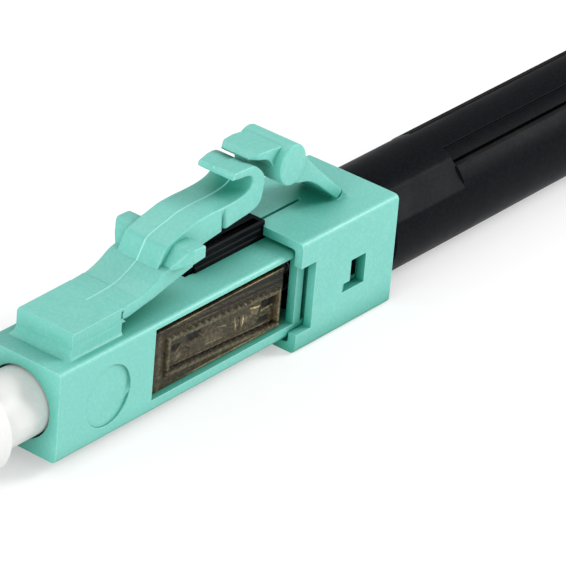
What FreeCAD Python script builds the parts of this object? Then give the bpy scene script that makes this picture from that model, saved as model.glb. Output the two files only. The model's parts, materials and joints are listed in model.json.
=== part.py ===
"""A field-fitted LC fibre plug with a mechanical splice, as a parametric document.

The plug's axis is the X axis. x = 0 is the front face of the plug section, +X
runs back towards the cable, +Z is the side of the latch. Sizes are millimetres.
"""
import FreeCAD, Part
import math
import os

import Sketcher

V = FreeCAD.Vector
doc = FreeCAD.newDocument("lc_plug")
sheet = doc.addObject("Spreadsheet::Sheet", "Sizes")

SIZES = [
    # the plug section that an adapter receives
    ("plug_width", 4.5), ("plug_corner", 0.25), ("plug_length", 21.9),
    ("side_wall", 0.45), ("floor_wall", 0.64), ("roof_wall", 0.26),
    ("nose_depth", 4.4), ("seat_wall", 0.6), ("seat_hole", 2.4),
    ("window_front", 6.33), ("rear_land", 5.62), ("post_width", 0.5), ("rear_slot", 0.5),
    ("roof_slot_front", 10.5), ("roof_slot_width", 0.64),
    ("mark_place", 3.29), ("mark_radius", 1.51), ("mark_depth", 0.07),
    # the latch on its roof
    ("root_front", 1.4), ("root_top", 3.42), ("root_width", 3.24), ("slot_front", 4.68),
    ("slot_height", 0.48), ("hinge_place", 5.1), ("hinge_radius", 0.375), ("hinge_gap", 0.03),
    ("arm_rise", 0.74), ("ramp_foot", 7.45), ("ramp_run", 0.58), ("ramp_rise", 0.95),
    ("band_width", 2.4), ("band_top", 5.64), ("ear_span", 4.5), ("ear_back", 9.4),
    ("ear_length", 1.05), ("ear_top", 5.08), ("ear_thick", 0.66),
    ("tail_thick", 1.12), ("hook_lead", 0.78), ("hook_top", 7.03), ("hook_thick", 0.33),
    ("hook_wall", 0.78), ("tip_lead", 1.48),
    # the sleeve that clips over the plug's rear
    ("sleeve_overlap", 6.0), ("sleeve_length", 7.03), ("sleeve_wall", 0.45),
    ("sleeve_side_gap", 0.07), ("sleeve_roof_gap", 0.168), ("sleeve_corner", 0.28),
    ("notch_depth", 1.08), ("notch_low", 1.87), ("notch_high", 1.6),
    ("catch_inset", 2.24), ("catch_length", 1.09), ("catch_low", 0.88), ("catch_high", 0.64),
    ("slit_width", 0.17), ("slit_length", 3.2), ("slit_side", 0.14),
    ("mouth_depth", 0.53), ("mouth_near", 0.41), ("mouth_far", 1.36),
    # the trigger that reaches forward over the latch
    ("pivot_inset", 1.48), ("pivot_rise", 0.32), ("pivot_radius", 0.28), ("strap_width", 2.2),
    ("roll_reach", 4.27), ("roll_height", 6.28), ("roll_long", 1.08), ("roll_short", 0.93),
    ("roll_width", 3.1), ("lip_reach", 6.52), ("lip_top", 7.42), ("lip_thick", 0.36),
    # the dust cap
    ("cap_neck", 3.3), ("cap_gap", 0.1), ("cap_reach", 3.9), ("cap_neck_out", 2.8),
    ("cap_grip", 4.4), ("cap_grip_length", 5.8), ("cap_bore", 1.44),
    # the floating ferrule with its splice
    ("ferrule_bore", 0.14), ("ferrule_diameter", 1.25), ("ferrule_tip", 1.7), ("ferrule_length", 7.2),
    ("fibre_diameter", 0.125), ("stub_overrun", 0.05),
    ("flange_flats", 2.9), ("flange_length", 1.0), ("collar_diameter", 2.1), ("tail_diameter", 2.0),
    ("float_travel", 0.6), ("float_gap", 0.02), ("holder_gap", 0.1), ("holder_front", 6.7),
    ("holder_rear_gap", 0.53), ("holder_height", 3.1), ("holder_side", 0.18), ("frame_border", 0.28),
    ("splice_front", 7.7), ("splice_wall", 0.55), ("splice_width", 1.8), ("half_height", 0.85),
    ("clip_wall", 0.1), ("clip_length", 5.2), ("clip_inset", 1.2),
    ("ring_diameter", 3.0), ("ring_length", 0.45), ("ring_hole", 1.5),
    ("wire", 0.22), ("coil_diameter", 2.3), ("coil_turns", 5),
    # the black backbone and barrel
    ("core_overlap", 4.9), ("core_gap", 0.05), ("rail_width", 0.54), ("rail_top", 3.1),
    ("rail_plate", 0.22), ("rail_back_gap", 0.06), ("spring_pocket", 2.9), ("pocket_depth", 2.7),
    ("guide_hole", 1.0), ("ring_wall", 0.48), ("spigot_length", 4.2), ("lug_height", 1.3),
    ("barrel_gap", 0.17), ("barrel_length", 22.9), ("barrel_diameter", 5.5), ("barrel_wall", 0.62),
    ("neck_diameter", 4.3), ("web_length", 1.6), ("flat_length", 5.5), ("flat_cut", 0.115),
    ("flat_angle", 39.2), ("rebate_angle", 61.5), ("rebate_width", 0.77), ("rebate_depth", 0.14),
    ("slit_angle", 50), ("barrel_slit", 0.32),
    ("clamp_gap", 0.05), ("clamp_length", 9.6), ("clamp_head", 3.4), ("clamp_tail", 2.5),
    ("buffer_hole", 1.0), ("wedge_length", 5.6), ("bush_length", 8.6), ("entry_hole", 2.2),
    ("entry_depth", 6.0), ("guide_wall", 0.2), ("end_round", 0.35),
]


# Places that follow from the sizes above.
FOLLOWING = [
    ("window_length", "plug_length - rear_land - window_front"),
    ("catch_front", "plug_length - catch_inset"),
    ("sleeve_front", "plug_length - sleeve_overlap"),
    ("pivot_place", "plug_length - pivot_inset"),
    ("roll_place", "pivot_place - roll_reach"),
    ("lip_tip", "pivot_place - lip_reach"),
    ("hook_back", "lip_tip + hook_lead"),
    ("hook_tip", "lip_tip - tip_lead"),
    ("holder_length", "plug_length - rear_land - holder_rear_gap - holder_front"),
    ("splice_length", "holder_front + holder_length - splice_wall - splice_front"),
    ("clip_front", "splice_front + clip_inset"),
    ("stub_length", "ferrule_tip + splice_front + splice_length / 2 + stub_overrun"),
    ("core_front", "plug_length - core_overlap"),
    ("barrel_front", "sleeve_front + sleeve_length + barrel_gap"),
    ("barrel_back", "barrel_front + barrel_length"),
    ("spigot_diameter", "barrel_diameter - 2 * (barrel_wall + clamp_gap + ring_wall)"),
]


def write_sizes():
    """Put every size in the sheet under its own name, then the places that follow."""
    cells = [(name, str(value)) for name, value in SIZES]
    cells += [(name, "=" + formula) for name, formula in FOLLOWING]
    for row, (name, text) in enumerate(cells, start=1):
        sheet.set(f"A{row}", name)
        sheet.set(f"B{row}", text)
        sheet.setAlias(f"B{row}", name)
    doc.recompute()


def named(expression):
    """Read bare size names in an expression as cells of the sheet."""
    words = {name for name, _ in SIZES + FOLLOWING}
    out, word = "", ""
    for letter in str(expression) + " ":
        if letter.isalnum() or letter == "_":
            word += letter
            continue
        out += ("Sizes." + word if word in words else word) + letter
        word = ""
    return out.strip()


def size(expression):
    """The present value of an expression in the sheet's names."""
    return float(sheet.evalExpression(named(expression)))


def new_body(name):
    body = doc.addObject("PartDesign::Body", name)
    body.Label = name
    return body


def sketch_on(body, name, plane, offset=None):
    """A sketch on one of the body's own origin planes, moved along its normal."""
    sketch = body.newObject("Sketcher::SketchObject", name)
    base = [item for item in body.Origin.OriginFeatures if item.Role == plane][0]
    sketch.AttachmentSupport = [(base, "")]
    sketch.MapMode = "FlatFace"
    if offset is not None:
        sketch.setExpression(".AttachmentOffset.Base.z", named(offset))
    doc.recompute()
    return sketch


def outline(sketch, corners):
    """A closed outline with every corner tied to the sheet."""
    first = sketch.GeometryCount
    spots = [(size(a), size(b)) for a, b in corners]
    count = len(corners)
    for index, spot in enumerate(spots):
        following = spots[(index + 1) % count]
        sketch.addGeometry(Part.LineSegment(V(*spot, 0), V(*following, 0)))
    for index in range(count):
        line, following = first + index, first + (index + 1) % count
        sketch.addConstraint(Sketcher.Constraint("Coincident", line, 2, following, 1))
    for index, corner in enumerate(corners):
        for kind, expression, value in zip(("DistanceX", "DistanceY"), corner, spots[index]):
            tie = sketch.addConstraint(Sketcher.Constraint(kind, first + index, 1, value))
            sketch.setExpression(f"Constraints[{tie}]", named(expression))
    return sketch


def rectangle(sketch, left, right, low, high):
    return outline(sketch, [(left, low), (right, low), (right, high), (left, high)])


def circle(sketch, across, up, diameter):
    """A circle whose centre and diameter are tied to the sheet."""
    line = sketch.addGeometry(Part.Circle(V(size(across), size(up), 0), V(0, 0, 1), size(diameter) / 2))
    for kind, expression in (("DistanceX", across), ("DistanceY", up)):
        tie = sketch.addConstraint(Sketcher.Constraint(kind, line, 3, size(expression)))
        sketch.setExpression(f"Constraints[{tie}]", named(expression))
    tie = sketch.addConstraint(Sketcher.Constraint("Diameter", line, size(diameter)))
    sketch.setExpression(f"Constraints[{tie}]", named(diameter))
    return sketch


def ellipse(sketch, across, up, tall, wide):
    """An upright ellipse whose centre and two diameters are tied to the sheet."""
    middle = V(size(across), size(up), 0)
    line = sketch.addGeometry(Part.Ellipse(
        middle + V(0, size(tall) / 2, 0), middle + V(size(wide) / 2, 0, 0), middle))
    sketch.exposeInternalGeometry(line)
    sketch.addConstraint(Sketcher.Constraint("Vertical", line + 1))
    ties = [("DistanceX", (line, 3, middle.x), across), ("DistanceY", (line, 3, middle.y), up),
            ("Distance", (line + 1, size(tall)), tall), ("Distance", (line + 2, size(wide)), wide)]
    for kind, what, expression in ties:
        tie = sketch.addConstraint(Sketcher.Constraint(kind, *what))
        sketch.setExpression(f"Constraints[{tie}]", named(expression))
    return sketch


def feature(body, kind, name, sketch, length, symmetric=False, backwards=False):
    """A pad or pocket of a sketch, with its length tied to the sheet."""
    made = body.newObject(f"PartDesign::{kind}", name)
    made.Profile = sketch
    made.SideType = "Symmetric" if symmetric else "One side"
    made.Reversed = backwards
    made.setExpression("Length", named(length))
    sketch.Visibility = False
    doc.recompute()
    return made


def pad(body, name, sketch, length, symmetric=False, backwards=False):
    return feature(body, "Pad", name, sketch, length, symmetric, backwards)


def pocket(body, name, sketch, length, symmetric=False, backwards=False):
    before = body.Shape.Volume
    made = feature(body, "Pocket", name, sketch, length, symmetric, backwards)
    if body.Shape.Volume > before - 1e-7:
        raise RuntimeError(f"{body.Label}: {name} cuts nothing")
    return made


def turned(body, name, corners):
    """A revolution about the X axis of an outline given as (x, radius)."""
    sketch = outline(sketch_on(body, name + "_outline", "XY_Plane"), corners)
    made = body.newObject("PartDesign::Revolution", name)
    made.Profile = sketch
    made.ReferenceAxis = (sketch, ["H_Axis"])
    made.Angle = 360
    sketch.Visibility = False
    doc.recompute()
    return made


def edges_along(shape, axis, spots, reach=0.02):
    """Names of the straight edges along an axis that pass through the given spots."""
    direction = {"x": V(1, 0, 0), "y": V(0, 1, 0), "z": V(0, 0, 1)}[axis]
    found = []
    for index, edge in enumerate(shape.Edges, start=1):
        if edge.Curve.TypeId != "Part::GeomLine":
            continue
        if abs(abs(edge.Curve.Direction.normalize() * direction) - 1) > 1e-6:
            continue
        middle = edge.CenterOfMass
        flat = [value for name, value in zip("xyz", middle) if name != axis]
        if any(math.dist(flat, spot) < reach for spot in spots):
            found.append(f"Edge{index}")
    return found


def rounded(body, name, radius, axis, spots, kind="Fillet"):
    """Round or chamfer the straight edges of a body that pass through the spots."""
    tip = body.Tip
    names = edges_along(tip.Shape, axis, [(size(a), size(b)) for a, b in spots])
    if len(names) < len(spots):
        raise RuntimeError(f"{body.Label}: {name} finds {len(names)} edges")
    made = body.newObject(f"PartDesign::{kind}", name)
    made.Base = (tip, names)
    made.setExpression("Radius" if kind == "Fillet" else "Size", named(radius))
    doc.recompute()
    return made


def square_corners(half_across, half_up):
    return [(f"{a}({half_across})", f"{b}({half_up})") for a in ("", "-") for b in ("", "-")]


# Shared places, written in the sheet's names.
PLUG_HALF = "plug_width / 2"
CAVITY_HALF = "(plug_width / 2 - side_wall)"
CAVITY_FLOOR = "(-plug_width / 2 + floor_wall)"
CAVITY_ROOF = "(plug_width / 2 - roof_wall)"
CAVITY_FRONT = "(nose_depth + seat_wall)"
WINDOW_BACK = "(window_front + window_length)"
HINGE_HEIGHT = "(plug_width / 2 + slot_height + hinge_radius)"
SLEEVE_HALF_IN = "(plug_width / 2 + sleeve_side_gap)"
SLEEVE_HALF_OUT = "(plug_width / 2 + sleeve_side_gap + sleeve_wall)"
SLEEVE_ROOF_IN = "(plug_width / 2 + sleeve_roof_gap)"
SLEEVE_ROOF_OUT = "(plug_width / 2 + sleeve_roof_gap + sleeve_wall)"
SLEEVE_BACK = "(sleeve_front + sleeve_length)"
PIVOT_HEIGHT = f"({SLEEVE_ROOF_OUT} + pivot_rise)"
HOLDER_BACK = "(holder_front + holder_length)"
RING_BACK = f"({HOLDER_BACK} + ring_length)"
BORE_RADIUS = "(barrel_diameter / 2 - barrel_wall)"
CLAMP_FRONT = "(plug_length + spigot_length + 3 * clamp_gap)"


def make_plug_housing():
    """The square plug moulding: nose bore, open windows, roof slot and latch root."""
    body = new_body("plug_housing")
    section = rectangle(sketch_on(body, "section", "YZ_Plane"),
                        f"-{PLUG_HALF}", PLUG_HALF, f"-{PLUG_HALF}", PLUG_HALF)
    pad(body, "bar", section, "plug_length")
    rounded(body, "long_edges", "plug_corner", "x", square_corners(PLUG_HALF, PLUG_HALF))

    # the block that carries the latch, with a round seat for the arm's living hinge
    root = outline(sketch_on(body, "root_outline", "XZ_Plane"), [
        ("root_front - 0.12", "plug_width / 2 - roof_wall / 2"),
        ("root_front - 0.12", PLUG_HALF),
        ("root_front", "plug_width / 2 + 0.12"),
        ("root_front", "root_top - 0.1"),
        ("root_front + 0.1", "root_top"),
        ("hinge_place - hinge_radius / 2", f"{HINGE_HEIGHT} + hinge_radius"),
        ("hinge_place - hinge_radius / 2", f"{HINGE_HEIGHT} - hinge_radius"),
        ("slot_front", f"{HINGE_HEIGHT} - hinge_radius"),
        ("slot_front", "plug_width / 2 - roof_wall / 2"),
    ])
    pad(body, "root_block", root, "root_width", symmetric=True)
    seat = circle(sketch_on(body, "hinge_seat_circle", "XZ_Plane"),
                  "hinge_place", HINGE_HEIGHT, "2 * hinge_radius + 2 * hinge_gap")
    pocket(body, "hinge_seat", seat, "root_width + 1", symmetric=True)

    nose = circle(sketch_on(body, "nose_circle", "YZ_Plane"), "0", "0", "cap_neck + 2 * cap_gap")
    pocket(body, "nose_bore", nose, "nose_depth", backwards=True)
    hole = circle(sketch_on(body, "seat_circle", "YZ_Plane"), "0", "0", "seat_hole")
    pocket(body, "seat_bore", hole, "nose_depth + seat_wall + 1", backwards=True)
    hollow = rectangle(sketch_on(body, "cavity_section", "YZ_Plane", CAVITY_FRONT),
                       f"-{CAVITY_HALF}", CAVITY_HALF, CAVITY_FLOOR, CAVITY_ROOF)
    pocket(body, "cavity", hollow, "plug_length", backwards=True)

    openings = sketch_on(body, "window_outline", "XZ_Plane")
    rectangle(openings, "window_front", WINDOW_BACK, CAVITY_FLOOR, CAVITY_ROOF)
    rectangle(openings, f"{WINDOW_BACK} + post_width", f"{WINDOW_BACK} + post_width + rear_slot",
              CAVITY_FLOOR, "notch_high")
    rectangle(openings, "catch_front - core_gap", "catch_front + catch_length + core_gap",
              "-lug_height / 2 - core_gap", "lug_height / 2 + core_gap")
    pocket(body, "windows", openings, "plug_width + 1", symmetric=True)
    slot = rectangle(sketch_on(body, "roof_slot_outline", "XY_Plane", "plug_width"),
                     "roof_slot_front", "plug_length + 1", "-roof_slot_width / 2", "roof_slot_width / 2")
    pocket(body, "roof_slot", slot, "plug_width")

    # a shallow round mark on each side, deeper towards the rear
    for side, name in ((-1, "near_mark"), (1, "far_mark")):
        mark = body.newObject("PartDesign::SubtractiveCylinder", name)
        mark.setExpression("Radius", named("mark_radius"))
        mark.Height = 1
        lean = math.degrees(math.atan2(size("mark_depth"), 2 * size("mark_radius")))
        out = FreeCAD.Rotation(V(0, 0, 1), side * lean) * FreeCAD.Rotation(V(1, 0, 0), -side * 90)
        deep = size(PLUG_HALF) - size("mark_depth") / 2
        mark.Placement = FreeCAD.Placement(V(size("mark_place"), side * deep, 0), out)
        doc.recompute()
    return body


def make_latch_arm():
    """The sprung latch: arm, raised band, two ears and the tail's curled hook."""
    body = new_body("latch_arm")
    arm = outline(sketch_on(body, "arm_outline", "XZ_Plane"), [
        ("hinge_place", f"{HINGE_HEIGHT} - hinge_radius"),
        ("hinge_place + 3.1", f"{HINGE_HEIGHT} + arm_rise - 0.36"),
        ("ear_back", f"{HINGE_HEIGHT} + arm_rise - 0.12"),
        ("ear_back", "ear_top - ear_thick / 2"),
        ("ramp_foot", f"{HINGE_HEIGHT} + arm_rise + hinge_radius"),
        ("ramp_foot - 0.65", f"{HINGE_HEIGHT} + hinge_radius + 0.42"),
        ("ramp_foot - 1.55", f"{HINGE_HEIGHT} + hinge_radius + 0.1"),
        ("hinge_place", f"{HINGE_HEIGHT} + hinge_radius"),
    ])
    pad(body, "arm", arm, "root_width", symmetric=True)
    knuckle = circle(sketch_on(body, "knuckle_circle", "XZ_Plane"),
                     "hinge_place", HINGE_HEIGHT, "2 * hinge_radius")
    pad(body, "knuckle", knuckle, "root_width", symmetric=True)

    # the raised band runs back into the tail and turns up and forward as a hook
    ramp_top = "(band_top - 0.46)"
    tail = outline(sketch_on(body, "tail_outline", "XZ_Plane"), [
        ("ramp_foot - 0.2", "band_top - tail_thick - 0.85"),
        ("ear_back + 1.2", "band_top - tail_thick - 0.2"),
        ("hook_back - 0.85", "band_top - tail_thick + 0.14"),
        ("hook_back - 0.08", "band_top - tail_thick + 0.42"),
        ("hook_back", "hook_top - 0.75"),
        ("hook_back - 0.55", "hook_top"),
        ("hook_tip + 0.1", "hook_top"),
        ("hook_tip", "hook_top - hook_thick / 2"),
        ("hook_tip + 0.12", "hook_top - hook_thick"),
        ("hook_back - hook_wall - 0.35", "hook_top - hook_thick"),
        ("hook_back - hook_wall", "hook_top - hook_thick - 0.3"),
        ("hook_back - hook_wall - 0.06", "band_top + 0.38"),
        ("hook_back - hook_wall - 0.75", "band_top + 0.06"),
        ("ear_back + 2.2", "band_top"),
        ("ear_back + 0.75", "band_top"),
        ("ear_back", "band_top - 0.2"),
        ("ramp_foot + ramp_run", ramp_top),
        ("ramp_foot", f"{ramp_top} - ramp_rise"),
    ])
    pad(body, "tail", tail, "band_width", symmetric=True)
    rounded(body, "hook_bend", "0.5", "y", [
        ("hook_back", "hook_top - 0.75"), ("hook_back - 0.08", "band_top - tail_thick + 0.42")])
    rounded(body, "hook_crown", "0.4", "y", [("hook_back - 0.55", "hook_top")])

    # the ears that catch behind the adapter's ledges: ramped front, upright rear
    ears = outline(sketch_on(body, "ear_outline", "XZ_Plane"), [
        ("ear_back", "ear_top - ear_thick + 0.04"), ("ear_back", "ear_top"),
        ("ear_back - ear_length + 0.05", "ear_top"),
        ("ear_back - ear_length - 0.6", "ear_top - ear_thick - 0.2"),
        ("ear_back - ear_length - 0.55", "ear_top - ear_thick - 0.34"),
        ("ear_back - ear_length", "ear_top - ear_thick - 0.1")])
    pad(body, "ears", ears, "ear_span", symmetric=True)
    corners = sketch_on(body, "ear_corner_plan", "XY_Plane", "ear_top + 0.1")
    for side in ("", "-"):
        outline(corners, [
            ("ear_back - ear_length - 0.8", f"{side}(root_width / 2 - 0.02)"),
            ("ear_back - ear_length - 0.15", f"{side}(ear_span / 2 - 0.24)"),
            ("ear_back - ear_length + 0.02", f"{side}(ear_span / 2 - 0.08)"),
            ("ear_back - ear_length + 0.25", f"{side}(ear_span / 2 + 0.05)"),
            ("ear_back - ear_length - 0.8", f"{side}(ear_span / 2 + 0.05)")])
    pocket(body, "ear_corners", corners, "ear_thick + 0.5")
    rounded(body, "ear_backs", "0.14", "y", [("ear_back", "ear_top")])

    # a narrow draft notch across each side of the tail
    notch = sketch_on(body, "draft_notch_plan", "XY_Plane", "band_top - 0.22")
    for side in ("", "-"):
        outline(notch, [
            ("ear_back + 2.52", f"{side}(band_width / 2 + 0.1)"),
            ("ear_back + 2.6", f"{side}(band_width / 2 - 0.12)"),
            ("ear_back + 2.68", f"{side}(band_width / 2 + 0.1)")])
    pocket(body, "draft_notches", notch, "tail_thick")
    return body


def make_rear_sleeve():
    """The square sleeve over the plug's rear, with its catch windows and slit roof."""
    body = new_body("rear_sleeve")
    outer = rectangle(sketch_on(body, "outer_section", "YZ_Plane", "sleeve_front"),
                      f"-{SLEEVE_HALF_OUT}", SLEEVE_HALF_OUT, f"-{SLEEVE_ROOF_OUT}", SLEEVE_ROOF_OUT)
    pad(body, "tube", outer, "sleeve_length")
    rounded(body, "outer_edges", "sleeve_corner", "x", square_corners(SLEEVE_HALF_OUT, SLEEVE_ROOF_OUT))
    inner = rectangle(sketch_on(body, "inner_section", "YZ_Plane", "sleeve_front"),
                      f"-{SLEEVE_HALF_IN}", SLEEVE_HALF_IN, f"-{SLEEVE_ROOF_IN}", SLEEVE_ROOF_IN)
    pocket(body, "hollow", inner, "sleeve_length + 1", backwards=True)
    rounded(body, "inner_edges", "plug_corner - sleeve_side_gap", "x",
            square_corners(SLEEVE_HALF_IN, SLEEVE_ROOF_IN))

    sides = sketch_on(body, "side_cuts", "XZ_Plane")
    rectangle(sides, "sleeve_front - 1", "sleeve_front + notch_depth", "-notch_low", "notch_high")
    rectangle(sides, "catch_front", "catch_front + catch_length", "-catch_low", "catch_high")
    pocket(body, "side_openings", sides, "2 * plug_width", symmetric=True)
    # the sloped corner in front of each catch window
    for side, name in ((-1, "near"), (1, "far")):
        ramp = outline(sketch_on(body, f"{name}_ramp_plan", "XY_Plane", "-catch_low"), [
            ("catch_front + 0.05", f"{side} * ({SLEEVE_HALF_OUT} + 0.01)"),
            ("catch_front + 0.05", f"{side} * ({SLEEVE_HALF_OUT} - 0.34)"),
            ("catch_front - 0.55", f"{side} * ({SLEEVE_HALF_OUT} + 0.01)")])
        pocket(body, f"{name}_ramp", ramp, "catch_low / 2", backwards=True)

    roof = sketch_on(body, "roof_plan", "XY_Plane", f"{SLEEVE_ROOF_OUT} + 0.1")
    outline(roof, [
        ("sleeve_front - 0.5", "-mouth_near"), ("sleeve_front", "-mouth_near"),
        ("sleeve_front + mouth_depth", "slit_side - slit_width / 2"),
        ("sleeve_front + slit_length", "slit_side - slit_width / 2"),
        ("sleeve_front + slit_length", "slit_side + slit_width / 2"),
        ("sleeve_front + mouth_depth", "slit_side + slit_width / 2"),
        ("sleeve_front + mouth_depth", "mouth_far - mouth_depth"),
        ("sleeve_front", "mouth_far"), ("sleeve_front - 0.5", "mouth_far")])
    pocket(body, "roof_cut", roof, "2 * sleeve_wall")
    slit_end = circle(sketch_on(body, "slit_end_circle", "XY_Plane", f"{SLEEVE_ROOF_OUT} + 0.1"),
                      "sleeve_front + slit_length", "slit_side", "slit_width")
    pocket(body, "slit_end", slit_end, "2 * sleeve_wall")

    # the trigger's foot: a low block with a round seat for its living hinge
    foot = outline(sketch_on(body, "foot_outline", "XZ_Plane"), [
        ("pivot_place - 0.05", f"{SLEEVE_ROOF_OUT} - 0.1"),
        ("pivot_place - 0.05", f"{PIVOT_HEIGHT}"),
        ("pivot_place + 0.22", f"{PIVOT_HEIGHT} + 0.14"),
        ("pivot_place + 0.36", f"{PIVOT_HEIGHT}"),
        ("pivot_place + 0.8", f"{SLEEVE_ROOF_OUT} - 0.1")])
    pad(body, "foot", foot, "strap_width", symmetric=True)
    seat = circle(sketch_on(body, "pivot_seat_circle", "XZ_Plane"),
                  "pivot_place", PIVOT_HEIGHT, "2 * pivot_radius + 2 * hinge_gap")
    pocket(body, "pivot_seat", seat, "strap_width + 1", symmetric=True)
    return body


def make_trigger_lever():
    """The trigger: a sloping strap, a finger roll and a lip over the latch's hook."""
    body = new_body("trigger_lever")
    strap = outline(sketch_on(body, "strap_outline", "XZ_Plane"), [
        ("lip_tip", "lip_top - lip_thick"),
        ("lip_tip + 0.65", "lip_top - lip_thick - 0.04"),
        ("lip_tip + 1.3", "lip_top - lip_thick - 0.33"),
        ("roll_place", "roll_height - 0.8"),
        ("roll_place + 0.9", "roll_height - 1.2"),
        ("roll_place + 1.85", "roll_height - 1.58"),
        ("roll_place + 2.3", "roll_height - 1.74"),
        ("pivot_place - pivot_radius * 0.72", f"{PIVOT_HEIGHT} - pivot_radius * 0.69"),
        ("pivot_place + pivot_radius * 0.69", f"{PIVOT_HEIGHT} + pivot_radius * 0.72"),
        ("roll_place + 2.0", "roll_height - 0.62"),
        ("roll_place + 0.75", "roll_height + 0.45"),
        ("roll_place - 0.68", "lip_top - 0.09"),
        ("lip_tip + 0.35", "lip_top"),
        ("lip_tip", "lip_top - 0.1"),
    ])
    pad(body, "strap", strap, "strap_width", symmetric=True)
    hub = circle(sketch_on(body, "hub_circle", "XZ_Plane"), "pivot_place", PIVOT_HEIGHT, "2 * pivot_radius")
    pad(body, "hub", hub, "strap_width", symmetric=True)
    rounded(body, "arch", "0.55", "y", [("roll_place + 2.3", "roll_height - 1.74")])
    rounded(body, "lip_corners", "0.3", "z",
            [("lip_tip", "strap_width / 2"), ("lip_tip", "-strap_width / 2")])
    # the finger roll, an upright oval bar with rounded ends
    oval = ellipse(sketch_on(body, "roll_oval", "XZ_Plane"),
                   "roll_place", "roll_height", "2 * roll_long", "2 * roll_short")
    roll = pad(body, "roll", oval, "roll_width", symmetric=True)
    ends = [f"Edge{index}" for index, edge in enumerate(roll.Shape.Edges, start=1)
            if abs(abs(edge.CenterOfMass.y) - size("roll_width / 2")) < 1e-4]
    soft = body.newObject("PartDesign::Fillet", "roll_ends")
    soft.Base = (roll, ends)
    soft.Radius = 0.3
    doc.recompute()
    return body


def make_dust_cap():
    """The white cap: a neck in the plug's nose, a grip outside, a bore for the ferrule."""
    body = new_body("dust_cap")
    end = "(-cap_neck_out - cap_grip_length)"
    turned(body, "cap", [
        (end, "0"), (end, "cap_grip / 2 - 0.5"), (f"{end} + 0.15", "cap_grip / 2 - 0.15"),
        (f"{end} + 0.5", "cap_grip / 2"), ("-cap_neck_out - 0.12", "cap_grip / 2"),
        ("-cap_neck_out", "cap_grip / 2 - 0.12"), ("-cap_neck_out", "cap_neck / 2"),
        ("cap_reach - 0.25", "cap_neck / 2"), ("cap_reach", "cap_neck / 2 - 0.25"),
        ("cap_reach", "cap_bore / 2 + 0.2"), ("cap_reach - 0.2", "cap_bore / 2"),
        ("-ferrule_tip - 0.6", "cap_bore / 2"), ("-ferrule_tip - 1", "0")])
    return body


def make_ferrule():
    """The 1.25 mm ferrule with its chamfered tip and fibre bore."""
    body = new_body("ferrule")
    back = "(ferrule_length - ferrule_tip)"
    turned(body, "barrel", [
        ("-ferrule_tip", "ferrule_bore / 2"), ("-ferrule_tip", "ferrule_diameter / 2 - 0.2"),
        ("-ferrule_tip + 0.35", "ferrule_diameter / 2"), (back, "ferrule_diameter / 2"),
        (back, "ferrule_bore / 2 + 0.2"), (f"{back} - 0.35", "ferrule_bore / 2")])
    return body


def make_ferrule_holder():
    """The hexagonal flange that holds the ferrule and seats on the plug's inner wall."""
    body = new_body("ferrule_holder")
    front = f"({CAVITY_FRONT} + float_gap)"
    grip_end = "(ferrule_length - ferrule_tip)"
    turned(body, "core", [
        ("nose_depth + 0.05", "ferrule_diameter / 2"), ("nose_depth + 0.05", "collar_diameter / 2 - 0.1"),
        ("nose_depth + 0.15", "collar_diameter / 2"), (front, "collar_diameter / 2"),
        (front, "flange_flats / 2"), (f"{front} + flange_length", "flange_flats / 2"),
        (f"{front} + flange_length", "tail_diameter / 2"), ("holder_front + 0.9", "tail_diameter / 2"),
        ("holder_front + 0.9", "fibre_diameter * 2"), (grip_end, "fibre_diameter * 2"),
        (grip_end, "ferrule_diameter / 2")])
    hexagon = sketch_on(body, "hexagon", "YZ_Plane", front)
    radius = "(flange_flats / 2 / cos(30 deg))"
    outline(hexagon, [(f"{radius} * cos({60 * k} deg)", f"{radius} * sin({60 * k} deg)") for k in range(6)])
    pad(body, "flange", hexagon, "flange_length")
    bore = circle(sketch_on(body, "grip_circle", "YZ_Plane", "nose_depth"), "0", "0", "ferrule_diameter")
    pocket(body, "grip", bore, f"{grip_end} - nose_depth", backwards=True)
    tunnel = circle(sketch_on(body, "tunnel_circle", "YZ_Plane", grip_end), "0", "0", "fibre_diameter * 4")
    pocket(body, "tunnel", tunnel, "3", backwards=True)
    return body


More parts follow.
